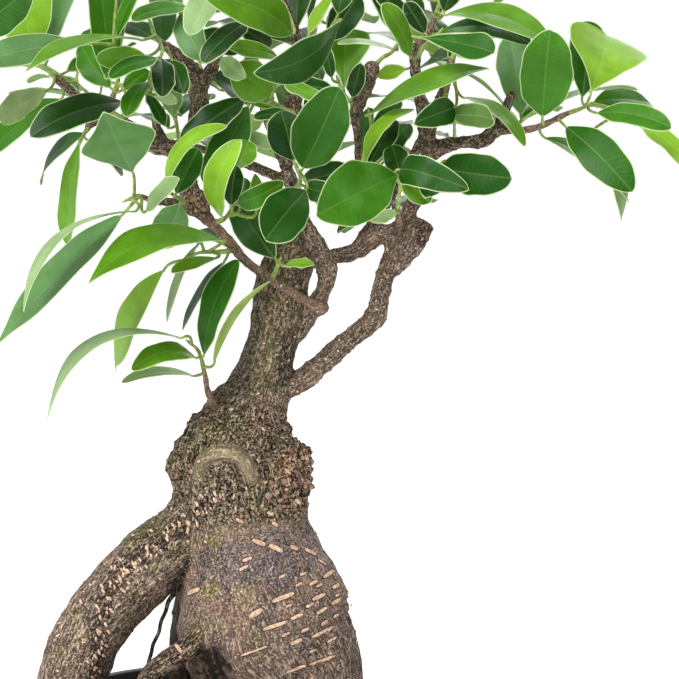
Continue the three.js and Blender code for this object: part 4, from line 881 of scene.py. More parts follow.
def smoothPoints(points, ends, times, share=0.5):
    count = np.bincount(ends.ravel(), minlength=len(points))[:, None]
    for _ in range(times):
        total = np.zeros_like(points)
        for axis in range(3):
            total[:, axis] = (np.bincount(ends[:, 0], points[ends[:, 1], axis], len(points))
                              + np.bincount(ends[:, 1], points[ends[:, 0], axis], len(points)))
        points = points + share * (total / np.maximum(count, 1) - points)
    return points


def normalsOf(mesh, points):
    mesh.vertices.foreach_set("co", points.ravel())
    mesh.update()
    normals = np.zeros(len(points) * 3)
    mesh.vertices.foreach_get("normal", normals)
    return normals.reshape(-1, 3)


# The place of each point along, across and behind the axis of the limb that carries it
def limbPlaces(points, limbRows):
    centres = np.concatenate([row["centres"] for row in limbRows])
    radii = np.concatenate([row["radii"] for row in limbRows])
    owner = np.concatenate([np.full(len(row["radii"]), i) for i, row in enumerate(limbRows)])
    best = np.zeros(len(points), int)
    for start in range(0, len(points), 4000):
        chunk = points[start:start + 4000]
        apart = np.sqrt(((chunk[:, None, :] - centres[None]) ** 2).sum(2))
        best[start:start + 4000] = (apart / radii[None]).argmin(1)
    whole = {key: np.concatenate([row[key] for row in limbRows]) for key in
             ("across", "deep", "along", "rows")}
    away = points - centres[best]
    axes = np.concatenate([row["axes"] for row in limbRows])[best]
    slip = (away * axes).sum(1)
    return {
        "limb": owner[best], "radius": radii[best], "row": whole["rows"][best],
        "across": (away * whole["across"][best]).sum(1), "deep": (away * whole["deep"][best]).sum(1),
        "along": whole["along"][best] + slip,
    }


# The limbs and lumps joined into one even skin, and where the limbs run
def makeRoughWood():
    rough = MeshParts()
    limbRows = []
    names = []
    for name, limb in limbs.items():
        if name in barkForm["thinLimbs"]:
            continue
        stations = smoothStations(limbStations(limb), barkForm["step"])
        sides = int(np.clip(2 * math.pi * stations[:, 3].max() / 1.6, 12, 72))
        points, faces, (centres, across, deep, axes) = tubeOf(stations, sides)
        rough.add(points, faces)
        steps = np.linalg.norm(np.diff(centres, axis=0), axis=1)
        limbRows.append({"centres": centres, "across": across, "deep": deep, "axes": axes,
                         "radii": 0.5 * (stations[:, 3] + stations[:, 4]),
                         "along": np.concatenate(([0], np.cumsum(steps))), "rows": stations[:, 5]})
        names.append(name)
    for sideways, down, depth, radius in lumps:
        rough.add(*sphereOf(place(sideways, down, depth), radius))

    roughPiece = rough.build("roughWood", [])
    remesh = roughPiece.modifiers.new("remesh", "REMESH")
    remesh.mode = "VOXEL"
    remesh.voxel_size = barkForm["voxel"] * millimetre
    bpy.context.view_layer.update()
    evaluated = roughPiece.evaluated_get(bpy.context.evaluated_depsgraph_get())
    mesh = bpy.data.meshes.new_from_object(evaluated)
    bpy.data.objects.remove(roughPiece)
    return mesh, limbRows, names


def makeWood():
    mesh, limbRows, names = makeRoughWood()
    points, ends = meshArrays(mesh)
    points = points / millimetre
    spots = limbPlaces(points, limbRows)
    softened = smoothPoints(points, ends, barkForm["smoothing"])
    points = points + (softened - points) * (0.3 + 0.7 * smoothStep(2.5, 9.0, spots["radius"]))[:, None]
    normals = normalsOf(mesh, points)
    print("  wood points", len(points))

    def onLimbs(*wanted):
        return np.isin(spots["limb"], [names.index(name) for name in wanted])

    def noiseOf(name, where=points):
        return fractalAt(where, *barkForm["noises"][name])

    isStem = onLimbs("stem")
    isRoot = onLimbs("leftRoot", "smallRoot", "backRootLeft", "backRootRight")
    isCallus = onLimbs("callus")
    row = spots["row"]
    seenBefore = seenPlaces(points)
    bodily = (isStem | (onLimbs("leftRoot") & (row < 530))) * 1.0
    neck = bodily * smoothStep(402, 428, row) * smoothStep(540, 505, row)
    trunk = isStem * smoothStep(424, 400, row)
    bulb = isStem * smoothStep(505, 545, row)
    branch = ~(isStem | isRoot | isCallus)
    isThin = branch * smoothStep(4.5, 2.8, spots["radius"])
    bulk = np.clip(spots["radius"] / 12, 0.12, 1.0)

    grainPlace = np.stack((spots["across"], spots["deep"],
                           spots["along"] + barkForm["limbShift"] * spots["limb"]), 1)
    stretched = grainPlace * np.array((1.0, 1.0, barkForm["stretch"]))
    broad, middle, rugged = noiseOf("broad"), noiseOf("middle"), noiseOf("rugged")
    streak = noiseOf("streak", stretched)
    furrow = 0.35 - np.abs(noiseOf("furrow", stretched))
    callusRow = limbRows[names.index("callus")]
    fromCallus = np.full(len(points), 1e9)
    for centre, radius in zip(callusRow["centres"], callusRow["radii"]):
        fromCallus = np.minimum(fromCallus, np.linalg.norm(points - centre, axis=1) - radius)
    onCallus = smoothStep(1.3, 0.7, fromCallus + 0.4 * rugged)
    push = bulk * (0.7 * broad + 0.3 * middle)
    push += streak * (0.5 * trunk + 0.45 * bulb * smoothStep(560, 640, row) + 0.4 * isRoot + 0.2 * bulb
                      + 0.25 * branch * bulk)
    push += 0.5 * trunk * furrow
    lumpy = np.zeros(len(points))
    wartTone = np.zeros(len(points))
    for i in np.nonzero(neck > 0.02)[0]:
        apart, cells = noise.voronoi(Vector(points[i] / barkForm["wartCell"]))
        lumpy[i] = max(0.0, 1 - (apart[0] / 0.5) ** 2)
        wartTone[i] = noise.cell(cells[0])
    warty = neck * smoothStep(248, 266, seenBefore[:, 0])
    push += neck * (1.4 * rugged + 2.0 * furrow) + (0.3 * neck + 0.7 * warty) * (lumpy - 0.3)
    ringPlace = spots["along"] + 1.6 * noiseOf("ringPlace")
    rings = np.abs(np.sin(math.pi * ringPlace / barkForm["ringSpacing"])) ** 14
    push += (branch * np.clip(spots["radius"] / 4, 0.3, 1)
             * (0.4 * (rings - 0.2) + 0.4 * middle + 0.25 * rugged))
    ringAcross, ringDown, ringFrom, ringTo, ringStep = barkForm["callusRings"]
    fromRing = np.hypot(seenBefore[:, 0] - ringAcross, seenBefore[:, 1] - ringDown) + 2.0 * rugged
    ringed = (neck * smoothStep(0.1, -0.3, normals[:, 1]) * smoothStep(ringTo, ringTo - 6, fromRing)
              * smoothStep(ringFrom - 6, ringFrom, fromRing))
    ringWave = np.sin(2 * math.pi * fromRing / ringStep)
    push += ringed * (0.7 * ringWave - 0.7 * push)
    push += onCallus * (0.5 + 0.5 * streak + 0.3 * rugged - push)
    # Rings sunk round the warts that are set on later
    wartRing = np.zeros(len(points))
    for spot, radius, _, _ in wartSpots:
        apart = np.hypot(seenBefore[:, 0] - spot[0], seenBefore[:, 1] - spot[1]) / radius
        wartRing = np.maximum(wartRing, smoothStep(1.75, 1.2, apart))
    wartRing = wartRing * smoothStep(0.35, -0.1, normals[:, 1])
    push -= barkForm["wartRing"] * wartRing

    tree = BVHTree.FromPolygons(points.tolist(), [tuple(f.vertices) for f in mesh.polygons])
    for sideways, down, reach, depth in barkForm["hollows"]:
        away = np.hypot(seenBefore[:, 0] - sideways, seenBefore[:, 1] - down) / reach
        push -= depth * np.exp(-away * away)
    for sideways, down, ring, height in barkForm["knots"]:
        spot = frontHit(tree, sideways, down)[0]
        if spot is None:
            continue
        reach = ring * frontView["scale"]
        apart = np.linalg.norm(points - np.array(spot), axis=1)
        raised = np.exp(-((apart - reach) / (0.35 * reach)) ** 2)
        push += height * (raised - 1.1 * np.exp(-(apart / (0.55 * reach)) ** 2))
    push *= smoothStep(70, 90, points[:, 2]) * 0.9 + 0.1
    finished = points + push[:, None] * normals
    normals = normalsOf(mesh, finished * 1.0)

    # Tints of the bark
    colour = np.tile(barkTints["neck"], (len(points), 1))

    def paint(mask, name):
        colour[:] += np.clip(mask, 0, 1)[:, None] * (np.array(barkTints[name]) - colour)

    blurred, ragged = noiseOf("blurred"), noiseOf("ragged")
    for mask, name in ((trunk, "trunk"), (bulb, "bulb"), (branch * 1.0, "branch"), (isThin * 0.8, "thin"),
                       (isRoot * smoothStep(505, 530, row), "root"),
                       (onLimbs("smallRoot") * 1.0, "smallRoot"),
                       (onLimbs("frontBranch") * 0.5, "tan"), (onCallus, "callus")):
        paint(mask, name)
    mossy = smoothStep(0.0, 0.45, noiseOf("moss") + 0.5 * blurred) * (1 - onCallus)
    paint(mossy * (0.55 * neck + 0.4 * trunk + 0.3 * isRoot + 0.15 * bulb + 0.1 * branch), "moss")
    shady = smoothStep(0.05, 0.45, noiseOf("slate") + 0.4 * blurred)
    paint(shady * (0.5 * bulb + 0.3 * isRoot + 0.3 * trunk + 0.25 * branch), "slate")
    rosyPlaces = smoothStep(0.05, 0.5, noiseOf("rose") + 0.4 * blurred)
    paint(rosyPlaces * (0.55 * bulb + 0.3 * branch + 0.3 * trunk), "rose")
    paint(warty * smoothStep(0.3, 0.8, lumpy) * (0.35 + 0.5 * wartTone), "rose")
    seen = seenPlaces(finished)
    frontal = smoothStep(0.35, -0.1, normals[:, 1])
    # The mask of the painted shadow in the gap under the bulb; the bark's grain is taken out under it.
    void = np.zeros(len(points))
    for radius, name, strength, stroke in barkPatches:
        stroke = np.array(stroke, float)
        apart = np.full(len(points), 1e9)
        if len(stroke) == 1:
            apart = np.linalg.norm(seen - stroke[0], axis=1)
        for a, b in zip(stroke[:-1], stroke[1:]):
            share = np.clip(((seen - a) @ (b - a)) / ((b - a) @ (b - a)), 0, 1)[:, None]
            apart = np.minimum(apart, np.linalg.norm(seen - (a + share * (b - a)), axis=1))
        edge = apart / radius + 0.45 * ragged + 0.3 * blurred
        mask = strength * frontal * smoothStep(1.25, 0.6, edge) * (1 - 0.85 * onCallus)
        paint(mask, name)
        if name == "void":
            void = np.maximum(void, mask)
    # The callus ridges take the callus tint on their crests, and painted shade darkens their troughs.
    paint(ringed * smoothStep(0.0, 0.6, ringWave) * 0.7, "callus")
    paint(ringed * smoothStep(-0.1, -0.7, ringWave) * 0.75, "dark")
    # Painted shade: the back roots turn dark where they face the front below the bulb, in its shadow, and
    # lose most of their grain there.
    behind = (onLimbs("backRootLeft", "backRootRight") * smoothStep(560, 600, row)
              * smoothStep(0.3, -0.3, normals[:, 1]))
    paint(0.9 * behind, "dark")
    # Painted shade: the bark darkens where it is pushed in, in its hollows.
    paint(smoothStep(-0.35, -1.2, push - 0.4 * broad) * 0.7, "dark")
    # Painted shade in the sunk rings round the warts.
    paint(wartRing * (0.35 + 0.4 * smoothStep(-0.3, 0.3, ragged)) * (1 - onCallus), "dark")
    furrows = (0.85 * trunk + 1.0 * neck + 0.9 * isRoot + 0.75 * branch * (1 - 0.5 * onLimbs("frontBranch"))
               + bulb * (0.3 + 0.6 * smoothStep(590, 650, row)))
    flecks = (0.8 * trunk + 1.0 * neck + 0.9 * isRoot + 0.85 * branch * (1 - 0.4 * onLimbs("frontBranch"))
              + bulb * (0.85 - 0.1 * smoothStep(590, 650, row)))
    furrows, flecks = furrows * (1 - 0.7 * behind), flecks * (1 - 0.9 * behind)
    furrows = (furrows + onCallus * (0.65 - furrows)) * (1 - 0.9 * void)
    flecks = (flecks + onCallus * (0.45 - flecks)) * (1 - 0.95 * void)

    parts = MeshParts()
    faces = [tuple(f.vertices) for f in mesh.polygons]
    parts.add(finished, faces, barkColour=np.hstack((colour, np.ones((len(points), 1)))),
              grainPlace=grainPlace, furrows=np.clip(furrows, 0, 1), flecks=np.clip(flecks, 0, 1))
    for name in barkForm["thinLimbs"]:
        stations = smoothStations(limbStations(limbs[name]), barkForm["thinStep"])
        stations[:, :2] += 0.35 * np.sin(np.arange(len(stations))[:, None] * np.array((0.9, 1.3)))
        tube, sideFaces, _ = tubeOf(stations, barkForm["thinSides"])
        parts.add(tube, sideFaces, barkColour=(*barkTints["thinRoot"], 1.0),
                  grainPlace=tube * np.array((1, 1, 0.4)), furrows=np.full(len(tube), 0.5),
                  flecks=np.full(len(tube), 0.25))
    wood = parts.build("barkedWood", [barkMaterial])
    bpy.data.meshes.remove(mesh)
    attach(wood, "root")
    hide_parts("wood")
    finishedTree = BVHTree.FromPolygons(finished.tolist(), faces)
    return finishedTree, limbRows, names


wartSpots = chooseWarts()
barkTree, limbRows, limbNames = makeWood()


print("stage: warts")


def makeWarts():
    parts = MeshParts()
    ball, ballFaces = sphereOf(np.zeros(3), 1.0, 8, 12)
    for spot, radius, tone, squash in wartSpots:
        hit = frontHit(barkTree, *spot)
        if hit[0] is None or hit[0][1] > 30:
            continue
        size = radius * frontView["scale"]
        normal = np.array(hit[1])
        centre = np.array(hit[0]) - warts["sunk"] * size * normal
        shaped = ball * size
        shaped = shaped * (1 + 0.1 * np.sin(5 * ball[:, [1, 2, 0]] + 9 * tone))
        shaped = shaped - np.multiply.outer((shaped @ normal) * 0.25 * squash, normal)
        # Painted shade: each wart darkens to the dark tint on its side that faces into the bark.
        low = smoothStep(0.4, -0.15, ball @ normal)[:, None]
        first, second = np.array(barkTints["rose"]), np.array(barkTints["wartTop"])
        skin = (first + (second - first) * tone) * (1 - low) + low * np.array(barkTints["dark"])
        parts.add(shaped + centre, ballFaces, barkColour=np.hstack((skin, np.ones((len(ball), 1)))),
                  grainPlace=shaped + centre, furrows=np.full(len(ball), 0.3), flecks=np.full(len(ball), 0.5))
    piece = parts.build("barkWarts", [barkMaterial])
    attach(piece, "root")


makeWarts()


print("stage: lenticels")
# Raised dashes on the front of the bark: [from across, from down, to across, to down, width in points]
lenticels = {
    "height": 0.45, "widening": 1.35, "seed": 7, "farthestBack": 25,
    # drawn at random: limb, how many, first and last row, longest, and whether the front has them too
    "ruled": [
        ("stem", 90, 545, 690, 9.0, False), ("stem", 40, 262, 520, 1.6, True),
        ("leftRoot", 60, 520, 690, 2.2, True), ("backRootLeft", 14, 560, 680, 3.0, False),
        ("backRootRight", 16, 560, 690, 4.0, False), ("rightBranch", 34, 230, 392, 1.0, True),
        ("frontBranch", 16, 230, 318, 0.9, True),
    ],
    # short pale ones along the dark stripe of the left root
    "stripe": {"count": 70, "spread": 15, "path": [[243, 482], [215, 502], [188, 524], [160, 545],
    [125, 565],
                                                  [106, 590], [100, 626], [97, 676]]},
    "drawn": [
        [272.7, 601.6, 293.4, 593.2, 4.4], [250.5, 616.4, 261, 610, 5.2],
        [263.2, 629.7, 287.5, 621.3, 3.8], [291.7, 618.6, 302.3, 614.3, 3.6],
        [310.8, 637.5, 334, 625.9, 3.2], [286.5, 672.3, 306, 665.0, 3.2], [308, 664.3, 336, 655.2, 3],
        [312.9, 599.5, 324.5, 594.2, 4], [317, 613.2, 326.6, 607.5, 3.6],
        [321.4, 624.8, 326.6, 620.6, 3.4], [332, 603.7, 339.3, 599.5, 4], [333, 587.9, 338.3, 584.7, 4],
        [323.5, 577.3, 333, 571, 4.2], [291.7, 643.8, 301.3, 639.5, 3.8], [301.3, 632, 308.7, 627.9, 3.2],
        [240, 655.5, 268.5, 645.8, 2.4], [188, 594, 199.7, 588.9, 4.8], [253.7, 540.3, 264.2, 544.6, 4.6],
        [270.6, 545.6, 281.2, 550.9, 5], [290.7, 546.7, 297, 548.8, 4.4], [305.5, 549.9, 315, 554.2, 4.6],
        [243, 560.8, 251.5, 557.6, 3.4], [240, 570, 248.4, 565.7, 3.2], [175.4, 645, 181.7, 652.4, 3.4],
        [272.7, 522.5, 276.9, 525.7, 3.4], [236.7, 519.4, 243, 522.5, 4], [300, 575, 306, 573, 3],
        [111, 566, 112.6, 569, 2.4], [120, 558.4, 121.4, 561.2, 2.2], [121, 568.6, 122.6, 571.6, 2.4],
        [127, 569.6, 129, 572.4, 2.6], [132.4, 562, 134, 565.4, 2.4], [138.8, 558, 141, 561, 2.4],
        [140, 567.4, 142.4, 570, 2.2], [145, 565.4, 147.2, 568, 2.2], [146.4, 554, 147.8, 557, 2],
        [150.6, 554, 152, 556.6, 2], [155.6, 546.4, 157.6, 549.4, 2], [160, 549.8, 161.8, 552, 2],
        [163.6, 531.6, 165, 534, 2], [166.4, 526.6, 167.8, 529, 2], [171.8, 523.4, 173.6, 526, 2.4],
        [178.2, 521.6, 179.8, 523.8, 2.2], [187, 521.4, 189.8, 525.2, 4.2],
        [183.6, 514, 185.2, 516.6, 2.4], [196, 502, 198, 505.4, 3.2], [200, 494, 203, 497, 3],
        [214, 498.6, 216, 502, 3.2], [109.6, 581, 111.2, 584, 2.4], [101, 584.6, 103, 587.4, 3],
        [118.8, 576, 121, 579, 2.4], [121, 588.4, 125, 592, 3], [127.6, 581.6, 129.4, 584, 2.2],
        [109.4, 597.4, 111, 600, 2.4], [107.2, 630, 110, 633, 2.6], [105, 644.8, 107.6, 646.6, 2.8],
        [102, 654.6, 105, 656.6, 3], [86.8, 660.6, 89, 663, 2.6], [91, 676, 93.4, 678, 2.6],
        [110, 609, 113.4, 612.4, 3], [150, 530, 153, 531.8, 2.6], [96, 605, 98, 608, 2.6],
        [80, 600, 82, 603, 2.8], [287, 470, 290, 473, 4], [296, 500, 300, 503, 4], [281, 505, 285, 507, 4],
        [268, 512, 272, 514, 4], [309, 585, 317, 581, 3], [306, 607, 313, 604, 3],
        [296, 586, 302, 583, 2.8], [279, 578, 285, 575, 2.8], [327, 642, 336, 637, 2.8],
        [286, 607, 292, 604.6, 2.6], [333, 617, 338, 614.6, 3], [318, 560, 325, 565, 3.2],
        [282, 636, 290, 632.6, 2.8], [309, 652, 316, 649.4, 2.6], [316, 587, 322, 584, 2.8],
        [335, 596, 339, 594, 2.6], [262, 428, 264.6, 430.4, 3], [283, 428, 285, 431, 3],
        [291, 434, 293, 437, 2.6], [272, 420, 274, 422.6, 2.4],
    ],
}


# A raised pad along a line on the bark, with its rim marked
def addLenticel(parts, start, end, width, height):
    length = np.linalg.norm(end - start)
    steps = int(np.clip(length / 0.8, 4, 14))
    rows = 5
    middle = barkTree.find_nearest(Vector(0.5 * (start + end)))
    if middle[0] is None:
        return
    normal = np.array(middle[1])
    way = unit(end - start)
    aside = unit(np.cross(normal, way))
    points, rims = [], []
    for i in range(steps + 1):
        u = 2 * i / steps - 1
        for j in range(rows):
            v = 2 * j / (rows - 1) - 1
            narrow = math.sqrt(max(1 - abs(u) ** 3.2, 0.0))
            wanted = (0.5 * (start + end) + 0.5 * u * (length + width) * way
                      + 0.5 * width * v * narrow * aside)
            found = barkTree.find_nearest(Vector(wanted))
            rim = max(abs(u) ** 3, abs(v) ** 2)
            lift = height * (1 - rim ** 2) * 1.1 + 0.03
            points.append(np.array(found[0]) + lift * np.array(found[1]))
            rims.append(rim)
    low = [p - 0.7 * normal for p in points]
    top = len(points)
    faces = [f[::-1] for f in sheetFaces(steps + 1, rows)] + sheetFaces(steps + 1, rows, top)
    edge = sheetBorder(steps + 1, rows)
    faces += [(b + top, a + top, a, b) for a, b in zip(edge, edge[1:] + edge[:1])]
    parts.add(np.array(points + low), faces, lenticelRim=np.array(rims + [1.0] * len(rims)))


def makeLenticels():
    parts = MeshParts()

    def onBark(across, down):
        spot = frontHit(barkTree, across, down)[0]
        return None if spot is None or spot[1] > lenticels["farthestBack"] else np.array(spot)

    for across0, down0, across1, down1, width in lenticels["drawn"]:
        start, end = onBark(across0, down0), onBark(across1, down1)
        if start is not None and end is not None and np.linalg.norm(end - start) < 20:
            breadth = width * frontView["scale"] * lenticels["widening"]
            addLenticel(parts, start, end, breadth, lenticels["height"])
    draw = makeRandom(lenticels["seed"])
    path = np.array(lenticels["stripe"]["path"], float)
    steps = np.concatenate(([0], np.cumsum(np.linalg.norm(np.diff(path, axis=0), axis=1))))
    for _ in range(lenticels["stripe"]["count"]):
        walked, aside, turn, size = draw() * steps[-1], draw() - 0.5, draw(), draw()
        spot = np.array([np.interp(walked, steps, path[:, axis]) for axis in (0, 1)])
        spot = spot + lenticels["stripe"]["spread"] * aside * np.array((0.7, 0.7))
        angle, half = math.radians(50 + 60 * turn), 0.5 * (1.8 + 3.4 * size * size)
        way = half * np.array((math.cos(angle), math.sin(angle)))
        start, end = onBark(*(spot - way)), onBark(*(spot + way))
        if start is not None and end is not None and np.linalg.norm(end - start) < 4:
            addLenticel(parts, start, end, 1.0 + 0.7 * size, lenticels["height"])
    for limbName, count, firstRow, lastRow, longest, frontToo in lenticels["ruled"]:
        rows = limbRows[limbNames.index(limbName)]
        inside = np.nonzero((rows["rows"] > firstRow) & (rows["rows"] < lastRow))[0]
        for _ in range(count):
            index = inside[int(draw() * (len(inside) - 1))]
            turn = 2 * math.pi * draw()
            lengthShare, slope, widthShare = draw(), draw(), draw()
            way = math.cos(turn) * rows["across"][index] + math.sin(turn) * rows["deep"][index]
            if not frontToo and way[1] < -0.25:
                continue
            centre = rows["centres"][index]
            found = barkTree.ray_cast(Vector(centre + 3.0 * rows["radii"][index] * way), Vector(-way))
            if found[0] is None:
                continue
            spot = np.array(found[0])
            around = unit(np.cross(rows["axes"][index], way))
            along = unit(around + (0.2 + 0.25 * slope) * rows["axes"][index])
            half = 0.5 * longest * (0.25 + 0.75 * lengthShare ** 1.5)
            addLenticel(parts, spot - half * along, spot + half * along, 0.8 + 0.9 * widthShare,
                        lenticels["height"] * 0.9)
    piece = parts.build("barkLenticels", [lenticelMaterial])
    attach(piece, "root")


makeLenticels()


print("stage: leaf places")
blade = {
    "widthRatio": 0.41, "fold": 0.2, "tipPower": 0.5, "peak": 0.55, "thickness": 0.5, "ribHeight": 0.32,
    "stalkRadius": 0.62, "neckRadius": 0.8, "along": 28,
    "across": [-1, -0.955, -0.86, -0.7, -0.5, -0.3, -0.14, -0.05, 0, 0.05, 0.14, 0.3, 0.5, 0.7, 0.86,
    0.955, 1],
    "wave": 0.8, "curl": 0.2, "uneven": 0.12, "bend": 0.035, "wedge": 0.3, "taperFrom": 0.6,
    "tipTurn": 1.6, "seed": 41,
}
leastTwigRadius = 1.0
twigBark = {"from": 1.15, "full": 1.55}
# Rooms that the leaves keep, in millimetres, and how finely they are tested
room = {"blade": 3.8, "kinBlade": 2.9, "twig": 1.5, "wood": 1.5, "stalk": 2.4}
sampling = {"along": 15, "across": 7, "stalk": 5, "skipped": 3}
# Shifts of a blade's tip, tried in turn until the leaf is clear; its base follows by a part of them
shifts = [
    [0, 0, 0], [0, 8, 0], [0, -8, 0], [0, 15, 0], [0, -15, 0], [0, 22, 0], [0, -22, 0],
    [0, 30, 0], [0, -30, 0], [5, 6, 5], [-5, -6, 5], [5, -12, -5], [-5, 12, -5], [0, 40, 0], [0, -40, 0],
    [10, 12, 8], [-10, -12, 8], [10, -20, -8], [-10, 20, -8],
]
baseFollows = 0.35
joint = {"start": 2, "end": 1, "apart": 1.3, "fromBend": 0.4, "step": 0.45}

